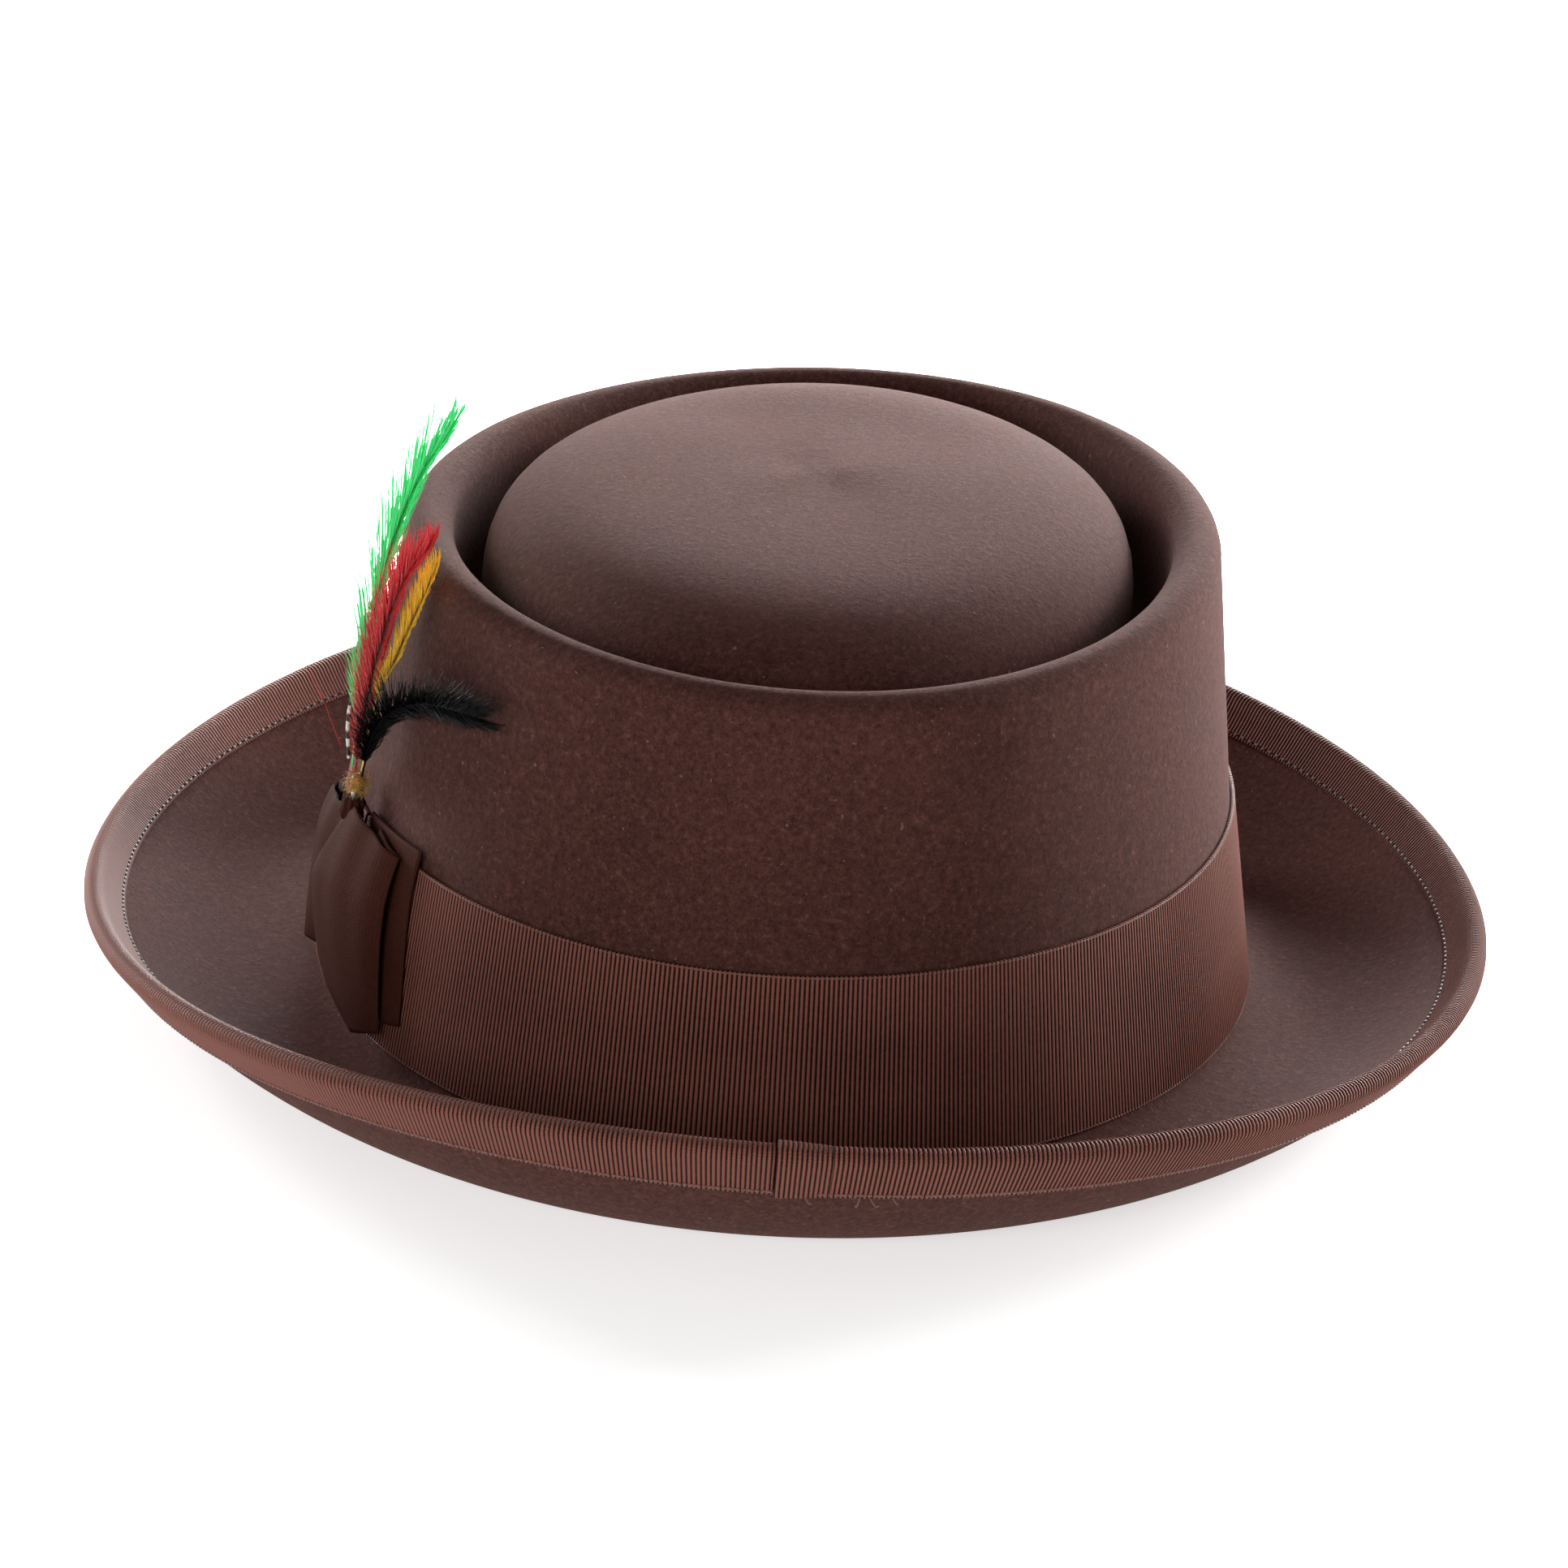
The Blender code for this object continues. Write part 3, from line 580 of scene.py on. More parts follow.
def ribbed_strip(name, outer, normals, run, across, lift, thickness, backs):
    """A closed ribbon: outer[row, column] lifted along its normals, ribs along columns."""
    rib = np.where(np.arange(outer.shape[1]) % RIB_STEPS == 0, 0.0, RIB_HEIGHT)
    face = outer + normals * (lift + thickness + rib[None, :, None])
    rear = (outer + normals * lift)[backs]
    section = np.concatenate([face, rear[::-1]], 0)
    uv = np.stack(np.broadcast_arrays(run[None], np.concatenate(
        [across, across[backs][::-1]])[:, None]), -1)
    loops = section.transpose(1, 0, 2)
    piece = skin(name, loops, wrap_columns=True, uv=uv.transpose(1, 0, 2))
    return capped(piece, loops.shape[1])


def capped(piece, count):
    """Close the two open ends of a swept section."""
    import bmesh
    work = bmesh.new()
    work.from_mesh(piece.data)
    rims = [e for e in work.edges if e.is_boundary]
    bmesh.ops.edgeloop_fill(work, edges=rims)
    bmesh.ops.recalc_face_normals(work, faces=work.faces)
    work.to_mesh(piece.data)
    work.free()
    return piece


# %% Ribbon finish
def ribbon_finish(name, valley_shade, ridge_highlight, gleam=0.68, sheen=0.0, rib_relief_and_shade=1.0,
                  shine=0.10):
    """Ribs are painted paler on their backs and darker in the valleys between them, a painted
    highlight and shade; fine threads cross them at a third of a millimetre.
    """
    finish = Finish(name, Sheen_Weight=sheen, Sheen_Roughness=0.35,
                    Sheen_Tint=(0.80, 0.52, 0.44), Specular_IOR_Level=shine)
    along, across = finish.cloth("Cloth")
    rib = (along * (math.pi / RIB_PITCH)).sine().size()
    thread = (across * (math.tau / (0.34 * MM))
              + (along * (math.pi / RIB_PITCH)).sine() * 1.4).sine() * 0.5 + 0.5
    fuzz = finish.noise(900, 3.0, 0.7)
    shade = finish.noise(45, 2.0, 0.5)
    # Painted shade in the rib valleys and painted highlight on the rib backs, with cross threads and
    # random mottling on top
    tone = ((rib * 1.7 - 0.65) * rib_relief_and_shade + thread * 0.18 + (fuzz - 0.5) * 0.7
            + (shade - 0.5) * 0.5 + 0.45 * (1 - rib_relief_and_shade)).held()
    colour = finish.blend(tone, valley_shade, ridge_highlight)
    height = rib * (0.75 * rib_relief_and_shade) + thread * 0.16 + fuzz * 0.18
    return finish.wear(colour, gleam - rib * 0.12 + (fuzz - 0.5) * 0.2, height, 0.00022)


# The valley colour is painted shade between the ribs; the ridge colour is painted highlight on their
# backs
grosgrain = ribbon_finish("grosgrain", (0.010, 0.0030, 0.0021), (0.235, 0.084, 0.062))

# %% [markdown]
# ## Edge binding
# A narrow ribbon is folded in half over the brim's edge, six to nine millimetres showing each side,
# and sewn through. Its two ends overlap at the back, where one end is turned under.

# %% Binding
BINDING_LIFT, BINDING_THICK = 0.25 * MM, 0.55 * MM
JOIN, LAP = 275.0, 4.2


def edge_section(theta):
    """Felt rows from the binding's upper border round the edge to its lower border."""
    top, below = felt_sides(theta, wrap=False)
    first = len(top) - 6
    whole = np.concatenate([top, edge_turn(top, below), below[::-1]])
    normals = surface_normals(whole, wrap_columns=False)
    rows = slice(first, first + 6 + 5 + 6)
    return whole[rows], normals[rows]


def edge_ribbon(name, start, stop, lift, settle=0.0):
    theta, run = rib_angles(start, stop, BRIM_EDGE[0], BRIM_EDGE[1])
    base, normals = edge_section(theta)
    across = np.concatenate([[0], np.cumsum(np.linalg.norm(
        np.diff(base[:, 0], axis=0), axis=1))])
    lift = lift - settle * np.linspace(0, 1, len(run))[None, :, None] ** 1.5
    return ribbed_strip(name, base, normals, run, across, lift, BINDING_THICK,
                        [0, 4, 6, 8, 10, 12, 16])


binding = edge_ribbon("edge_ribbon", JOIN + 0.1, JOIN + 359.9, BINDING_LIFT)
finished(binding, grosgrain, "hat", "brim_binding")
lap = edge_ribbon("edge_ribbon_lap", JOIN, JOIN + LAP,
                  BINDING_LIFT + BINDING_THICK + RIB_HEIGHT * 0.6,
                  settle=BINDING_THICK + RIB_HEIGHT * 0.3)
finished(lap, grosgrain, "hat", "binding_lap")

# %% [markdown]
# ## Stitching
# A row of stitches is one shape repeated along a line, which is what Geometry Nodes do best. The
# line is resampled to the stitch's pitch, and a small capsule is laid on each point along the line.

# %% Stitch tree
def stitch_tree(stitch, pitch, material):
    tree = Pattern("stitches", Stitch=stitch, Pitch=pitch, Seed=2, Material=material)
    line = tree.add("GeometryNodeMeshToCurve", {0: tree.input("Geometry")})
    steps = tree.add("GeometryNodeCurveToPoints",
                     {"Curve": line, "Length": tree.input("Pitch")}, mode="LENGTH")
    along = tree.part(steps, "Tangent")
    turn = tree.add("FunctionNodeAlignRotationToVector", {"Vector": along}, axis="Z")
    jitter = tree.add("FunctionNodeRandomValue",
                      {"Min": (-0.10, -0.10, 0.0), "Max": (0.10, 0.10, 3.1),
                       "Seed": tree.input("Seed")}, data_type="FLOAT_VECTOR")
    uneven = tree.add("FunctionNodeRotateRotation",
                      {"Rotation": turn, "Rotate By": jitter}, rotation_space="LOCAL")
    shape = tree.add("GeometryNodeObjectInfo", {"Object": tree.input("Stitch")}, out=4)
    laid = tree.add("GeometryNodeInstanceOnPoints",
                    {"Points": steps, "Instance": shape, "Rotation": uneven})
    tree.close(laid)
    return tree


def line_object(name, points):
    mesh = bpy.data.meshes.new(name)
    mesh.from_pydata(points.tolist(), [(i, i + 1) for i in range(len(points) - 1)], [])
    line = bpy.data.objects.new(name, mesh)
    scene.collection.objects.link(line)
    return line


def sewn(name, points, pitch, length, radius, material):
    """A row of stitches along a line of points."""
    half = length / 2
    stitch = spike("stitch", 6, [(-half, 0.0, 0.0), (-half * 0.8, radius * 0.75, 0.0),
                                 (0.0, radius, 0.0), (half * 0.8, radius * 0.75, 0.0),
                                 (half, 0.0, 0.0)])
    line = line_object("line", points)
    row = stitch_tree(stitch, pitch, material).grown_on(line, name)
    for helper in (stitch, line):
        bpy.data.objects.remove(helper)
    row.data.shade_smooth()
    return row


def thread_finish(name, colour):
    finish = Finish(name, Sheen_Weight=0.3, Specular_IOR_Level=0.4)
    ply = finish.noise(1800, 2.0, 0.6)
    tone = finish.blend(ply, tuple(c * 0.6 for c in colour), tuple(c * 1.5 for c in colour))
    return finish.wear(tone, 0.55 + (ply - 0.5) * 0.2, ply, 0.0001)


def curve_through(points, count):
    """Smooth points through a few given in millimetres."""
    knots = np.array(points, float) * MM
    knots = np.vstack([2 * knots[0] - knots[1], knots, 2 * knots[-1] - knots[-2]])
    spans = len(knots) - 3
    x = np.linspace(0, spans, count)
    k = np.minimum(x.astype(int), spans - 1)
    t = (x - k)[:, None]
    a, b, c, d = (knots[k + i] for i in range(4))
    return 0.5 * (2 * b + (c - a) * t + (2 * a - 5 * b + 4 * c - d) * t ** 2
                  + (3 * b - a - 3 * c + d) * t ** 3)


def rod(name, path, radii, sides=8):
    """A round tapering rod along a path, closed at both ends."""
    along = unit(np.gradient(path, axis=0))
    across = unit(np.cross(along, np.array([0.3, 0.9, 0.1])))
    up = np.cross(across, along)
    turn = np.arange(sides) / sides * math.tau
    radii = np.interp(np.linspace(0, 1, len(path)), np.linspace(0, 1, len(radii)), radii)
    rings = (path[:, None] + radii[:, None, None] * (
        np.cos(turn)[None, :, None] * across[:, None]
        + np.sin(turn)[None, :, None] * up[:, None]))
    ends = np.repeat(path[[0, -1]][:, None], sides, axis=1)
    return turned_out(skin(name, np.concatenate([ends[:1], rings, ends[1:]]),
                           wrap_columns=True, poles=True))


def joined(name, *pieces):
    """Several meshes as one piece."""
    import bmesh
    work = bmesh.new()
    for piece in pieces:
        work.from_mesh(piece.data)
        bpy.data.objects.remove(piece)
    mesh = bpy.data.meshes.new(name)
    work.to_mesh(mesh)
    work.free()
    mesh.shade_smooth()
    whole = bpy.data.objects.new(name, mesh)
    scene.collection.objects.link(whole)
    return whole


brown_thread = thread_finish("brown_thread", (0.016, 0.006, 0.0045))
chain_thread = thread_finish("chain_thread", (0.150, 0.055, 0.040))


# %% Rows of stitches on the binding
def binding_line(row, lift, start, stop):
    theta = np.radians(np.linspace(start, stop, 900))
    base, normals = edge_section(theta)
    return base[row] + normals[row] * lift


on_ribbon = BINDING_LIFT + BINDING_THICK + 0.10 * MM
top_row = sewn("upper_stitches", binding_line(1, on_ribbon, JOIN + 0.3, JOIN + 359.7),
               2.1 * MM, 1.5 * MM, 0.30 * MM, brown_thread)
finished(top_row, brown_thread, "hat", "binding_top_thread")
under_row = sewn("under_stitches", binding_line(-2, on_ribbon, JOIN + 0.3, JOIN + 359.7),
                 1.15 * MM, 0.95 * MM, 0.30 * MM, chain_thread)
loose_ends = []
for number, (degrees, drop, drift) in enumerate([(277.4, 1.6, 1.2), (281.6, 2.2, -0.8),
                                                 (282.4, 1.8, 1.6), (284.2, 1.0, 0.8)]):
    spot = binding_line(-1, on_ribbon, degrees, degrees + 0.01)[0] / MM
    curl = [spot + (0, -0.2, 0.2), spot + (drift * 0.3, -0.5, -drop * 0.3),
            spot + (drift * 0.7, -0.4, -drop * 0.7), spot + (drift, -0.6, -drop * 0.5)]
    loose_ends.append(rod(f"loose_end_{number}", curve_through(curl, 14),
                          [0.17 * MM, 0.15 * MM, 0.12 * MM], sides=6))
under_row = joined("under_stitches", under_row, *loose_ends)
finished(under_row, chain_thread, "hat", "binding_under_thread")

# %% [markdown]
# ## The band round the crown
# The band is an inch and a half wide. It lies flat on the wall, with its ribs standing upright, and
# its two ends meet under the bow.

# %% Hatband
BAND_LOW, BAND_HIGH = 6.0 * MM, 42.6 * MM
BAND_LIFT, BAND_THICK = 0.25 * MM, 0.62 * MM
BOW_AT = 206.0


def build_band():
    theta, run = rib_angles(BOW_AT + 0.4, BOW_AT + 359.6, *WALL_WAIST[:2])
    heights = BAND_HIGH - (BAND_HIGH - BAND_LOW) * np.array(
        [0, 0.012, 0.03, 0.15, 0.38, 0.62, 0.85, 0.97, 0.988, 1])
    half_x, half_y = wall_oval(heights)
    base = oval(half_x[:, None], half_y[:, None], heights[:, None], theta[None])
    normals = surface_normals(base, wrap_columns=False)
    return ribbed_strip("crown_ribbon", base, normals, run, BAND_HIGH - heights,
                        BAND_LIFT, BAND_THICK, [0, 4, 9])


band = build_band()
finished(band, grosgrain, "hat", "hatband")


def selvedge(name, height):
    """A chain of small loops that finishes one edge of the ribbon."""
    x, y = (float(v) + BAND_LIFT + BAND_THICK for v in wall_oval(height))
    theta = np.radians(np.linspace(BOW_AT + 0.5, BOW_AT + 359.5, 1400))
    row = sewn(name, oval(x, y, height, theta), RIB_PITCH, 0.80 * MM, 0.21 * MM,
               chain_thread)
    return finished(row, chain_thread, "hat", slot="band_ribbon")


selvedge("band_upper_selvedge", BAND_HIGH - 0.2 * MM)
selvedge("band_lower_selvedge", BAND_LOW + 0.3 * MM)

# %% [markdown]
# ## The bow
# The bow is folded from the same ribbon, pinched at the top where the feathers go in, and each fold
# fans out below the pinch. A fold is a grid again: one way runs down the fold from pinch to tip, the
# other runs across it and turns back under at the far side, and the sheet then gets its thickness.

# %% Ribbon folds
PLY = 0.55 * MM


def bow_spot(degrees, z, stand_off):
    """A point outside the band, with the band's slope carried on above and below it."""
    t = (z - WALL_FOOT[2]) / (WALL_WAIST[2] - WALL_FOOT[2])
    out = 1.0 * MM + stand_off
    return oval(WALL_FOOT[0] + (WALL_WAIST[0] - WALL_FOOT[0]) * t + out,
                WALL_FOOT[1] + (WALL_WAIST[1] - WALL_FOOT[1]) * t + out,
                z, np.radians(degrees))


def eased(values, t):
    """Evenly spaced values read with smooth joins, for t from 0 to 1."""
    values = np.asarray(values, float)
    fine = np.interp(np.linspace(0, 1, 65), np.linspace(0, 1, len(values)), values)
    for _ in range(40):
        fine[1:-1] = (fine[:-2] + 2 * fine[1:-1] + fine[2:]) / 4
    return np.interp(t, np.linspace(0, 1, 65), fine)


def ribbon_fold(name, near, far, section, pleats=0.0, peak=(0.0, 0.0), rows=48,
                columns=56):
    """A closed folded sheet; near and far are side edges (degrees, heights in mm)."""
    v = np.linspace(0, 1, rows)[:, None]
    u = np.linspace(0, 1, columns)[None]
    across, stand = (eased([s[i] for s in section], u) for i in (0, 1))
    puff = (1.0 - 0.45 * v ** 2) * (0.55 + 0.45 * np.clip(v / 0.3, 0, 1) ** 0.7
                                    if pleats else 1.0)
    off = np.where(stand > 0.65, 0.65 + (stand - 0.65) * puff, stand)
    off = off + pleats * (1 - v) ** 1.6 * np.sin(across * 17) * (stand > 1.0)
    degrees = eased(near[0], v) + (eased(far[0], v) - eased(near[0], v)) * across
    heights = eased(near[1], v) + (eased(far[1], v) - eased(near[1], v)) * across
    heights = heights + eased(peak, across) * (1 - v) ** 4
    sheet = bow_spot(degrees, heights * MM, off * MM)
    normals = surface_normals(sheet, wrap_columns=False)
    middle = sheet[rows // 2]
    run = np.concatenate([[0], np.cumsum(np.linalg.norm(np.diff(middle, axis=0), axis=1))])
    drop = np.concatenate([[0], np.cumsum(np.linalg.norm(
        np.diff(sheet[:, columns // 3], axis=0), axis=1))])
    loops = np.concatenate([(sheet + normals * PLY / 2), (sheet - normals * PLY / 2)[:, ::-1]],
                           1)
    uv = np.stack(np.broadcast_arrays(np.concatenate([run, run[::-1]])[None],
                                      drop[:, None]), -1)
    piece = skin(name, loops, wrap_columns=True, uv=uv)
    return capped(piece, loops.shape[1])


# The same painted rib shade and highlight, kept faint on the bow
satin_ribbon = ribbon_finish("bow_ribbon", (0.022, 0.0064, 0.0042), (0.078, 0.0240, 0.0160),
                             gleam=0.80, sheen=0.0, rib_relief_and_shade=0.12, shine=0.03)

# %% The bow's folds
back_layer = ribbon_fold(
    "bow_layer_behind",
    ([209.0, 209.5, 211.0, 215.0, 221.5], [45.4, 35.0, 25.0, 16.0, 11.5]),
    ([222.8, 222.0, 222.6, 223.5, 224.2], [46.6, 38.0, 29.0, 20.5, 12.8]),
    [(0.0, 0.65), (0.35, 0.65), (0.7, 0.65), (1.0, 0.65)], rows=36, columns=24)
finished(back_layer, satin_ribbon, "hat", "bow_back_layer")
front_loop = ribbon_fold(
    "bow_loop",
    ([203.0, 201.6, 204.0, 209.5, 218.0], [41.2, 32.0, 23.0, 14.0, 8.0]),
    ([219.6, 219.2, 219.5, 220.6, 221.6], [44.8, 36.0, 27.0, 18.0, 10.0]),
    [(0.0, 6.6), (0.25, 7.0), (0.5, 6.6), (0.78, 5.2), (0.96, 3.8), (1.0, 3.1),
     (0.95, 2.7), (0.8, 2.6), (0.62, 2.6)], pleats=0.28, peak=(-6.0, 4.5, 2.5, 0.5, -1.5))
finished(front_loop, satin_ribbon, "hat", "bow_front_loop")
side_wing = ribbon_fold(
    "bow_wing",
    ([204.4, 203.0, 201.0, 198.5, 196.0], [41.2, 33.0, 24.0, 15.5, 9.0]),
    ([188.0, 186.0, 185.5, 188.0, 192.5], [36.5, 31.0, 24.0, 16.0, 8.5]),
    [(0.0, 0.65), (0.2, 2.0), (0.5, 3.9), (0.8, 4.0), (0.97, 3.0), (1.0, 2.2),
     (0.95, 1.5), (0.75, 0.9)], pleats=0.2)
finished(side_wing, satin_ribbon, "hat", "bow_side_wing")


# %% The pinch at the top of the bow
def pocket_axes():
    foot, head = (bow_spot(BOW_AT, z, 3.2 * MM) for z in (0.0, 40 * MM))
    up = unit(head - foot)
    side = bow_spot(BOW_AT + 1, 0.0, 3.2 * MM) - foot
    side = unit(side - up * np.dot(side, up))
    out = np.cross(up, side)
    return foot, side, out if out[0] < 0 else -out, up


def build_pinch():
    """A gathered sleeve of ribbon round the feathers' stem, open down its middle."""
    foot, side, out, up = pocket_axes()
    turn = np.linspace(0, math.tau, 64, endpoint=False)
    levels = [(1.15, 1.15, 42.3, 0), (1.15, 1.15, 46.4, 0), (2.0, 1.6, 46.5, 0.1),
              (2.7, 2.0, 45.9, 0.18), (2.4, 1.8, 44.4, 0.24), (2.9, 2.1, 42.9, 0.2),
              (2.2, 1.8, 42.2, 0.1)]
    rings = []
    for half_side, half_out, z, gather in levels:
        ripple = 1 + gather * np.cos(turn * 9) * 0.6
        rings.append(foot + (half_side * ripple * np.cos(turn))[:, None] * side * MM
                     + (half_out * ripple * np.sin(turn))[:, None] * out * MM
                     + up * z * MM / up[2])
    return turned_out(skin("bow_pinch", np.array(rings), wrap_rows=True, wrap_columns=True,
                           uv=np.zeros((len(levels), 64, 2))))


pinch = build_pinch()
finished(pinch, satin_ribbon, "hat", "bow_centre_wrap")

# %% [markdown]
# ## Feathers
# A hackle is a neck feather: a thin tapering shaft with loose separate barbs that sweep towards its
# tip. Each feather is a short curve. A tree walks along it and plants barbs left and right; their
# length grows and dies away along the shaft by a simple product of powers.

# %% Barb tree
def barb_tree(barb, count, length, spread, flatness, seed, material):
    tree = Pattern("barbs", Barb=barb, Count=count, Length=length, Spread=spread,
                   Flatness=flatness, Seed=seed, Material=material)
    points = tree.add("GeometryNodeCurveToPoints",
                      {"Curve": tree.add("GeometryNodeMeshToCurve",
                                         {0: tree.input("Geometry")}),
                       "Count": tree.input("Count")}, mode="COUNT")
    along = tree.part(points, "Tangent")
    way = tree.add("GeometryNodeInputIndex") / tree.input("Count")
    turn = tree.add("FunctionNodeAlignRotationToVector", {"Vector": along}, axis="Z")
    facing = tree.add("FunctionNodeAlignRotationToVector",
                      {"Rotation": turn, "Vector": (0.35, -0.93, 0.1)},
                      axis="Y", pivot_axis="Z")
    side = (tree.add("FunctionNodeRandomValue",
                     {2: 0.0, 3: 1.0, "Seed": tree.input("Seed")}, out=1) > 0.5) * 2 - 1
    loose = tree.add("FunctionNodeRandomValue",
                     {2: -1.0, 3: 1.0, "Seed": tree.input("Seed") + 5}, out=1)
    tilt = tree.add("FunctionNodeRandomValue",
                    {2: 0.55, 3: 1.15, "Seed": tree.input("Seed") + 9}, out=1)
    angle = tree.input("Spread") * tilt * side * (1.05 - way * 0.45)
    roll = loose * tree.input("Flatness")
    swing = tree.add("FunctionNodeEulerToRotation",
                     {0: tree.add("ShaderNodeCombineXYZ", {0: roll, 1: angle})})
    planted = tree.add("FunctionNodeRotateRotation",
                       {"Rotation": facing, "Rotate By": swing}, rotation_space="LOCAL")
    profile = ((way + 0.04) ** 0.5) * ((1.03 - way) ** 0.42) * 1.25
    reach = tree.input("Length") * profile * (0.82 + 0.18 * loose)
    shape = tree.add("GeometryNodeObjectInfo", {"Object": tree.input("Barb")}, out=4)
    thin = tree.add("ShaderNodeCombineXYZ", {0: 1.0, 1: 1.0, 2: reach})
    tree.close(tree.add("GeometryNodeInstanceOnPoints",
                        {"Points": points, "Instance": shape, "Rotation": planted,
                         "Scale": thin}))
    return tree


# %% Feather finish
def feather_finish(name, low, high, from_z, to_z, streak=(0.0, 0.0, 0.0), streaks=0.0,
                   shine=0.4, glow=0.2):
    """Dyed barbs that change colour up the feather, with a soft silky light."""
    finish = Finish(name, Sheen_Weight=glow, Sheen_Roughness=0.4, Specular_IOR_Level=shine)
    spot = finish.add("ShaderNodeSeparateXYZ", {0: finish.place()}, out=2)
    height = ((spot - from_z * MM) / ((to_z - from_z) * MM)).held()
    grain = finish.noise(700, 3.0, 0.7, stretch=(1.0, 1.0, 0.25))
    colour = finish.blend((height + (grain - 0.5) * 0.5).held(), low, high)
    if streaks:
        mask = finish.ramp(finish.noise(420, 2.0, 0.5, stretch=(1, 1, 0.2)),
                           [(0.52, 0.0), (0.66, streaks)])
        colour = finish.blend(mask * (1 - height), colour, streak)
    return finish.wear(colour, 0.5 + (grain - 0.5) * 0.3, grain, 0.0001)


def hackle(name, node, points, length, spread, count, seed, finish, flatness=0.5,
           bare=0.0, shaft=0.22):
    """One feather: a shaft and its barbs, standing for one solid of the frame."""
    path = curve_through(points, 60)
    barb = spike("barb", 3, [(0.0, 0.0, 0.0), (0.0, 0.12 * MM, 0.0),
                             (0.4, 0.11 * MM, 0.15 * MM), (0.75, 0.07 * MM, 0.55 * MM),
                             (1.0, 0.0, 1.2 * MM)])
    line = line_object("line", path[int(bare * 60):])
    barbs = barb_tree(barb, count, length * MM, spread, flatness, seed, finish).grown_on(
        line, name + "_barbs")
    for helper in (barb, line):
        bpy.data.objects.remove(helper)
    stem = rod(name + "_shaft", path, [shaft * MM, shaft * MM * 0.8, 0.07 * MM])
    feather = joined(name, barbs, stem)
    return finished(feather, finish, "feather_mount", node)


# %% The feathers
green_dye = feather_finish("green_dye", (0.10, 0.62, 0.20), (0.07, 0.88, 0.27), 60, 92,
                           (0.30, 0.05, 0.03), 0.75)
red_dye = feather_finish("red_dye", (0.42, 0.012, 0.012), (0.72, 0.022, 0.030), 52, 98)
yellow_dye = feather_finish("yellow_dye", (0.90, 0.62, 0.04), (0.95, 0.52, 0.015), 60, 96,
                            (0.40, 0.34, 0.04), 0.4)
black_dye = feather_finish("black_dye", (0.0025, 0.0025, 0.003), (0.006, 0.006, 0.007), 55, 78,
                           shine=0.15, glow=0.0)

hackle("green_hackle", "green_feather",
       [(-79.6, -45.4, 52), (-78.4, -46, 70), (-76.2, -46, 86), (-73.0, -46, 100),
        (-69.0, -46, 111), (-64.5, -46, 119)], 29.0, 0.20, 620, 11, green_dye, bare=0.10)
hackle("red_hackle", "red_feather",
       [(-78.8, -47.6, 52), (-76.8, -50.0, 66), (-73.6, -53.0, 82), (-70.0, -55.6, 93.5),
        (-65.6, -57.6, 101)], 19.0, 0.26, 1000, 23, red_dye, bare=0.04)
hackle("yellow_hackle", "yellow_feather",
       [(-77.2, -49.6, 53), (-74.4, -52.6, 69), (-71.0, -54.6, 78), (-67.0, -57.2, 89),
        (-63.4, -60, 98)], 14.0, 0.20, 560, 31, yellow_dye, bare=0.24)
hackle("black_hackle", "black_feather",
       [(-76.8, -52.0, 53), (-74.4, -56.4, 63), (-70.4, -61.4, 70), (-64.6, -68.6, 74.8),
        (-58.6, -75.6, 77.2), (-51.4, -82.4, 78.4)], 18.0, 0.62, 900, 47, black_dye,
       flatness=0.4, bare=0.08)


# %% [markdown]
# ## Small pieces of the feather mount
# A black and white barred quill, one loose red filament, a tuft of yellow down where the feathers
# are bound together, and the wire stem that goes down into the bow.

# %% Quill, filament, tuft and stem
def barred_finish():
    finish = Finish("barred_quill_dye", Specular_IOR_Level=0.4)
    up = finish.add("ShaderNodeSeparateXYZ", {0: finish.place()}, out=2)
    ragged = finish.noise(900, 2.0, 0.6)
    bars = finish.ramp((up / (3.4 * MM) + ragged * 0.5).fraction(),
                       [(0.44, 0.0), (0.56, 1.0)])
    return finish.wear(finish.blend(bars, (0.01, 0.01, 0.01), (0.75, 0.74, 0.70)),
                       0.5 + (ragged - 0.5) * 0.2, ragged, 0.0001)


quill = rod("barred_quill_rod", curve_through([(-80.6, -43.8, 53.0), (-81.0, -43.6, 60),
                                               (-80.4, -43.6, 67)], 30),
            [0.3 * MM, 0.42 * MM, 0.40 * MM, 0.12 * MM])
finished(quill, barred_finish(), "feather_mount", "barred_quill")
filament = rod("red_filament_hair", curve_through(
    [(-82.0, -44.6, 55.5), (-86.2, -45, 66), (-90.6, -45, 74.5)], 30),
    [0.10 * MM, 0.09 * MM, 0.05 * MM], sides=5)
finished(filament, red_dye, "feather_mount", "red_filament")


def build_tuft():
    """Down that stands out all round the binding of the stems."""
    foot, side, out, up = pocket_axes()
    rows = [(0.7, 47.6), (1.2, 48.2), (1.5, 49.3), (1.3, 50.4), (0.7, 51.2)]
    turn = np.linspace(0, math.tau, 24, endpoint=False)
    rings = np.array([foot + (r * np.cos(turn))[:, None] * side * MM
                      + (r * np.sin(turn))[:, None] * out * MM + up * z * MM / up[2]
                      for r, z in rows])
    ends = np.repeat(rings[[0, -1]].mean(1)[:, None], 24, axis=1)
    ball = turned_out(skin("ball", np.concatenate([ends[:1], rings, ends[1:]]),
                           wrap_columns=True, poles=True))
    fibre = spike("down", 3, [(0.0, 0.0, 0.0), (0.0, 0.06 * MM, 0.0),
                              (1.4 * MM, 0.05 * MM, 0.1 * MM), (2.6 * MM, 0.0, 0.7 * MM)])
    tree = nap_tree(fibre, down_dye)
    tree.values["Density"] = 1.1e7
    fluff = tree.grown_on(ball, "down_tuft")
    bpy.data.objects.remove(fibre)
    return joined("down_tuft", fluff, ball)


down_dye = feather_finish("down_dye", (0.55, 0.32, 0.03), (0.30, 0.05, 0.01), 47, 54)
tuft = build_tuft()
finished(tuft, down_dye, "feather_mount", "feather_collar")


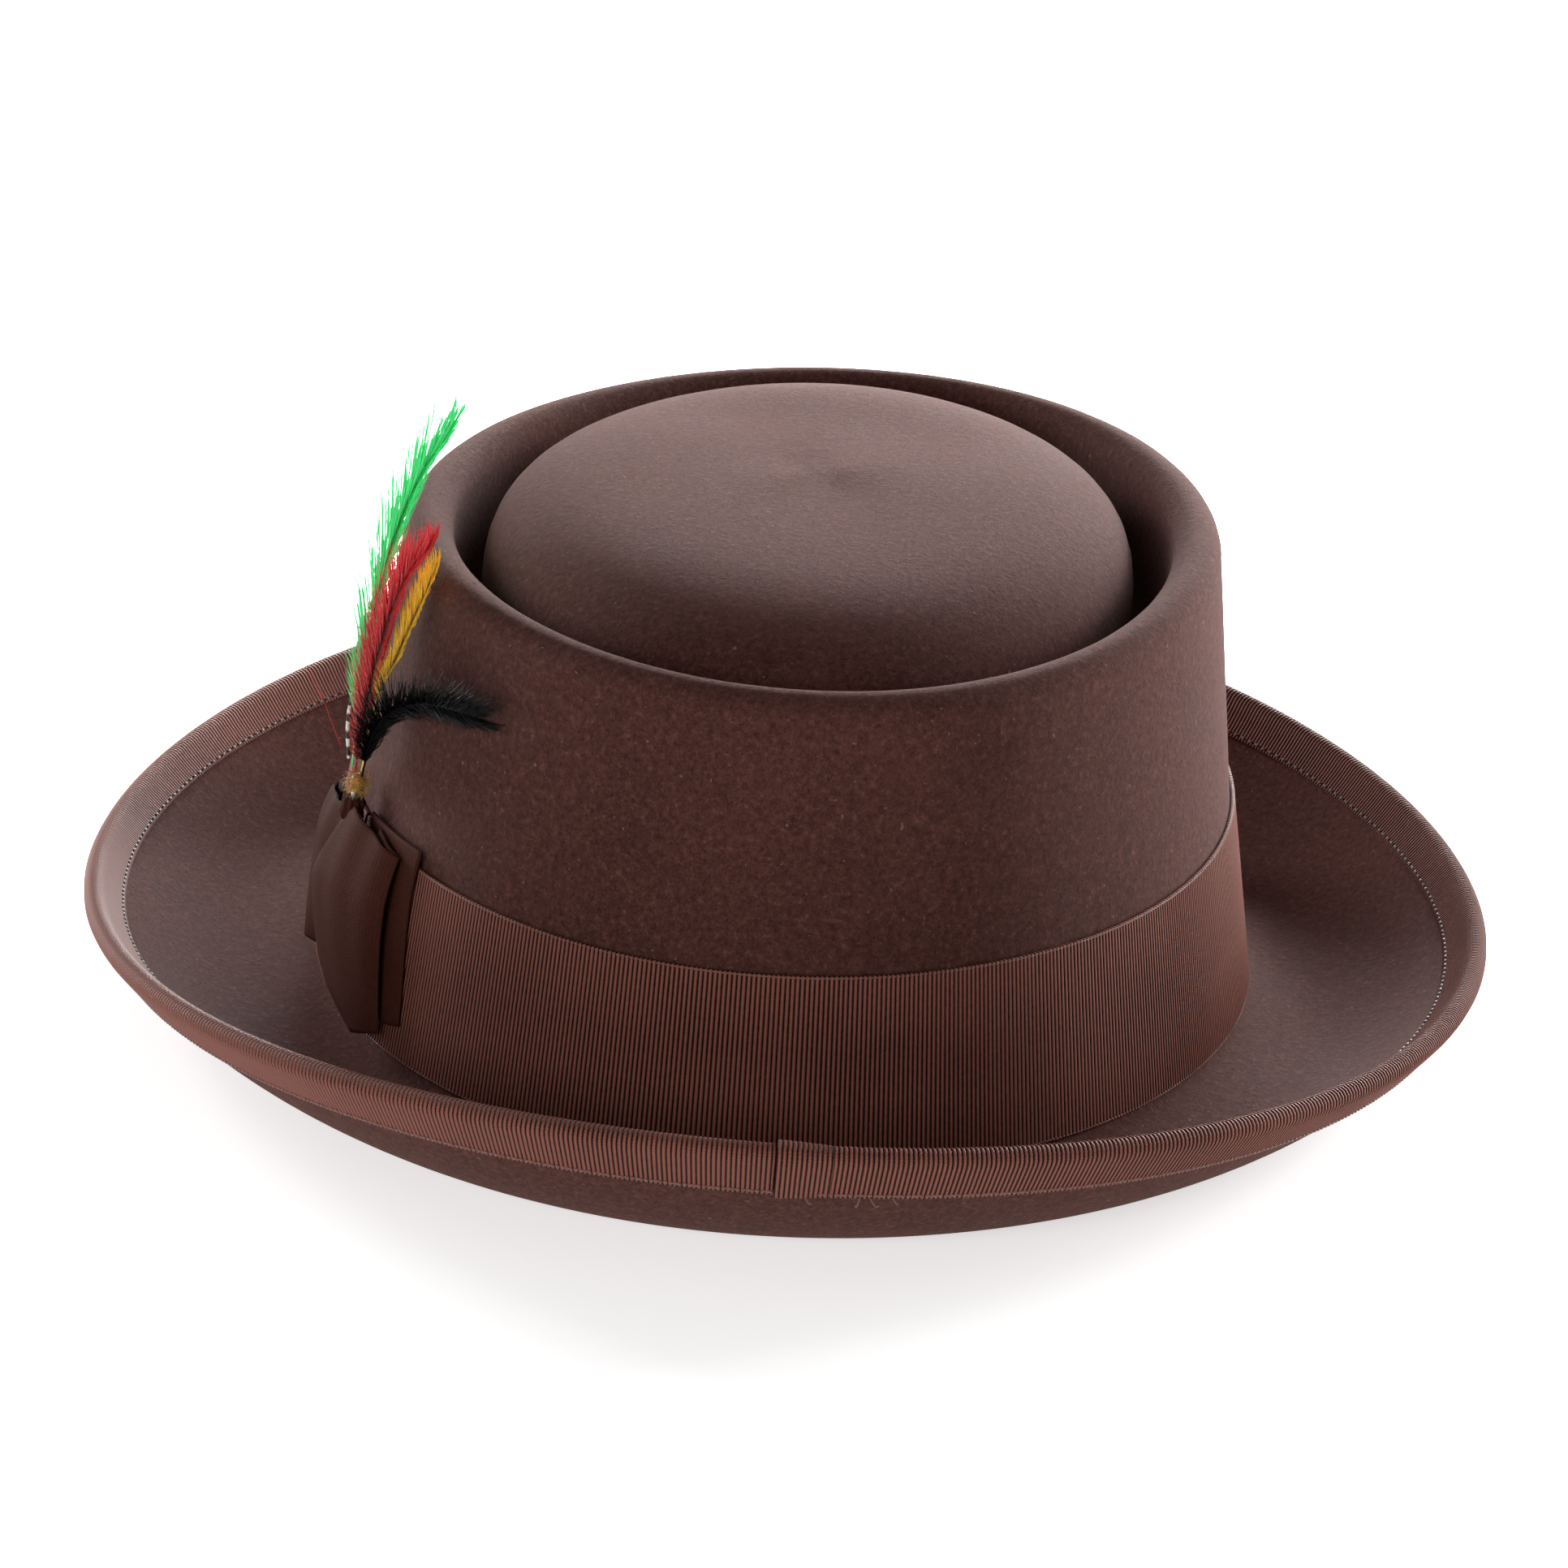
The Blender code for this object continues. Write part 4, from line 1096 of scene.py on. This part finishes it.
def wire_finish():
    finish = Finish("stem_wire", Metallic=0.85, Specular_IOR_Level=0.5)
    scratches = finish.noise(1600, 2.0, 0.6, stretch=(1, 1, 0.2))
    return finish.wear(finish.blend(scratches, (0.16, 0.15, 0.14), (0.42, 0.40, 0.38)),
                       0.35 + (scratches - 0.5) * 0.3, scratches, 0.00005)


frame["nodes"]["feather_stem"].material_slots[0].material = wire_finish()

# %% [markdown]
# ## Inside the hat
# The satin lining hangs from the crown, a leather sweatband stands inside the opening, and a thin
# reed in its lower edge keeps it round. A tiny bow covers the sweatband's seam at the back.

# %% Inside finishes
def satin_finish(name, dark, light):
    finish = Finish(name, Sheen_Weight=0.2, Specular_IOR_Level=0.6)
    fold_shade_and_bump = finish.noise(60, 2.0, 0.5, stretch=(1, 1, 0.3))
    threads = finish.noise(2200, 1.0, 0.5, stretch=(1, 1, 0.15))
    # Colour follows the folds: painted shade in their hollows and painted highlight on their crests
    return finish.wear(finish.blend(fold_shade_and_bump, dark, light), 0.30 + (threads - 0.5) * 0.25,
                       fold_shade_and_bump * 0.8 + threads * 0.1, 0.0006)


def leather_finish(name, dark, light):
    finish = Finish(name, Specular_IOR_Level=0.45)
    grain = finish.add("ShaderNodeTexVoronoi",
                       {"Vector": finish.place(), "Scale": 900.0}, feature="F1")
    pores = finish.noise(1300, 3.0, 0.6)
    clouds = finish.noise(40, 2.0, 0.5)
    tone = (0.35 + (clouds - 0.5) * 0.8 + (pores - 0.5) * 0.5).held()
    return finish.wear(finish.blend(tone, dark, light), 0.42 + (pores - 0.5) * 0.25,
                       grain * 0.7 + pores * 0.3, 0.00018)


# The darker colour is painted fold shade and the lighter one is painted fold highlight
satin = satin_finish("lining_satin", (0.045, 0.020, 0.016), (0.085, 0.040, 0.032))
calf = leather_finish("sweatband_leather", (0.060, 0.028, 0.015), (0.115, 0.058, 0.032))


# %% Lining, sweatband and their trims
def inner_strip(name, heights, near, far, wobble=0.0):
    """A closed strip inside the wall, from near to far behind the felt's outside."""
    theta = np.linspace(0, math.tau, 240, endpoint=False)
    half_x, half_y = wall_oval(np.array(heights) * MM)
    z = np.array(heights)[:, None] * MM
    swell = wobble * np.sin(23 * theta) * np.sin(np.linspace(0, math.pi, len(heights)))[:, None]
    sides = [oval(half_x[:, None] - d * MM - swell, half_y[:, None] - d * MM - swell, z,
                  theta[None]) for d in (near, far)]
    return turned_out(skin(name, np.concatenate([sides[0], sides[1][::-1]]),
                           wrap_rows=True, wrap_columns=True))


lining = inner_strip("lining_wall", np.linspace(10, 61.2, 16), 2.9, 3.2, 0.10 * MM)
finished(lining, satin, "hat", "lining_side")
band_in = inner_strip("leather_band", [5, 5.4, 6, 20, 42.7, 46.2, 46.8, 47], 3.75, 4.9)
finished(band_in, calf, "hat", "sweatband")


def build_tip():
    theta = np.linspace(0, math.tau, 160, endpoint=False)
    k = np.concatenate([[0.01], np.linspace(0.06, 1.0, 22)])[:, None]
    lift = 62.2 + 4.0 * (1 - k ** 2) + 0.15 * np.sin(14 * theta)[None] * k ** 2 * (1 - k) * 4
    under = oval(76.5 * MM * k, 95.3 * MM * k, lift * MM, theta[None])
    over = under + np.array([0, 0, 0.4 * MM])
    return turned_out(skin("lining_crown_tip", np.concatenate([over, under[::-1]]),
                           wrap_columns=True, poles=True))


tip = build_tip()
finished(tip, satin, "hat", "lining_tip")


def ring_line(half_x, half_y, z, start=0.0, stop=360.0, count=720):
    return oval(half_x * MM, half_y * MM, z * MM, np.radians(np.linspace(start, stop, count)))


piping = sewn("piping_twist", ring_line(77.6, 96.4, 62.5), 0.9 * MM, 1.6 * MM, 0.62 * MM, satin)
finished(piping, satin, "hat", "lining_piping")
half_x, half_y = (float(v) / MM for v in wall_oval(7.5 * MM))
inner_row = sewn("sweatband_stitches", ring_line(half_x - 5.05, half_y - 5.05, 7.5), 3.0 * MM,
                 2.3 * MM, 0.22 * MM, brown_thread)
finished(inner_row, brown_thread, "hat", "sweatband_stitching")


def build_small_bow():
    """A flat bow tie of ribbon, pinched in the middle, on the sweatband's seam."""
    u = np.linspace(-1, 1, 46)[None]
    half = 1.3 + 3.0 * np.minimum(1, np.abs(u) / 0.45) ** 1.4
    v = np.linspace(-1, 1, 12)[:, None]
    z = (14 + half * v) * MM
    x, y = wall_oval(z)
    bulge = (5.45 + 0.7 * np.exp(-(u / 0.16) ** 2) + 0 * v) * MM
    theta = np.radians(270 + 6 * u)
    face = oval(x - bulge - 0.35 * MM, y - bulge - 0.35 * MM, z, theta)
    rear = oval(x - 5.3 * MM, y - 5.3 * MM, z, theta)
    loops = np.concatenate([face, rear[::-1]])
    uv = np.stack(np.broadcast_arrays(13 * MM * u, np.concatenate([z, z[::-1]])), -1)
    return capped(skin("seam_bow", loops, wrap_rows=True, uv=uv), loops.shape[0])


seam_bow = build_small_bow()
finished(seam_bow, satin_ribbon, "hat", "sweatband_bow")


def reed_finish():
    finish = Finish("reed_tape", Specular_IOR_Level=0.4)
    weave = finish.noise(1400, 2.0, 0.6)
    return finish.wear(finish.blend(weave, (0.05, 0.025, 0.018), (0.10, 0.055, 0.04)),
                       0.6 + (weave - 0.5) * 0.2, weave, 0.0001)


frame["nodes"]["sweatband_reed"].material_slots[0].material = reed_finish()

# %% [markdown]
# ## Cloth sizes
# The ribbon, the lining and its tip are sheets of cloth. The ribbon's length is the way round the
# crown, and it is printed; the way round the lining is worked out too. The tip is cut as an oval.

def way_round(half_x, half_y):
    theta = np.linspace(0, math.tau, 721)
    return float(np.linalg.norm(np.diff(oval(half_x, half_y, 0.0, theta), axis=0), axis=1).sum())


waist = way_round(*(float(v) for v in wall_oval(24 * MM)))
side_x, side_y = (float(v) - 3 * MM for v in wall_oval(36 * MM))
way_round(side_x, side_y)
print("band is", round(waist / MM), "mm round")

# %% [markdown]
# ## Floor and light
# A plain white studio: a pale, slightly glossy floor, a wide soft light above and behind the hat,
# one at each side that draws a pale line down the crown's edges, and a soft fill from the camera.

# %% Studio
def build_floor():
    half = 4.0
    grid = np.array([[(-half, half, 0), (half, half, 0)], [(-half, -half, 0), (half, -half, 0)]],
                    float)
    floor = skin("floor", grid[::-1])
    finish = Finish("floor_paper", Base_Color=(0.82, 0.82, 0.82), Roughness=0.22,
                    Specular_IOR_Level=0.35, Emission_Color=(1.0, 0.995, 0.99),
                    Emission_Strength=0.62)
    floor.data.materials.append(finish.material)


def soft_light(name, place, aim, size, power, colour=(1, 1, 1)):
    lamp = bpy.data.lights.new(name, "AREA")
    lamp.shape, lamp.size, lamp.size_y = "RECTANGLE", *size
    lamp.energy, lamp.color = power, colour
    light = bpy.data.objects.new(name, lamp)
    light.matrix_world = Matrix.Translation(Vector(place)) @ (
        Vector(aim) - Vector(place)).to_track_quat("-Z", "Y").to_matrix().to_4x4()
    scene.collection.objects.link(light)


build_floor()
soft_light("top_back", (0.25, 1.45, 0.40), (0, 0.05, 0.10), (1.4, 0.32), 60)
soft_light("right_side", (1.00, 0.75, 0.30), (0, 0, 0.07), (0.35, 0.6), 24)
soft_light("left_side", (-1.05, 0.80, 0.34), (0, 0, 0.07), (0.35, 0.6), 19)
soft_light("front_fill", (-0.55, -1.7, 0.70), (0, 0, 0.05), (1.0, 0.7), 12.5)
world = bpy.data.worlds.new("studio")
world.use_nodes = True
world.node_tree.nodes["Background"].inputs["Color"].default_value = (1, 1, 1, 1)
world.node_tree.nodes["Background"].inputs["Strength"].default_value = 0.22
scene.world = world
scene.view_settings.view_transform = "Standard"
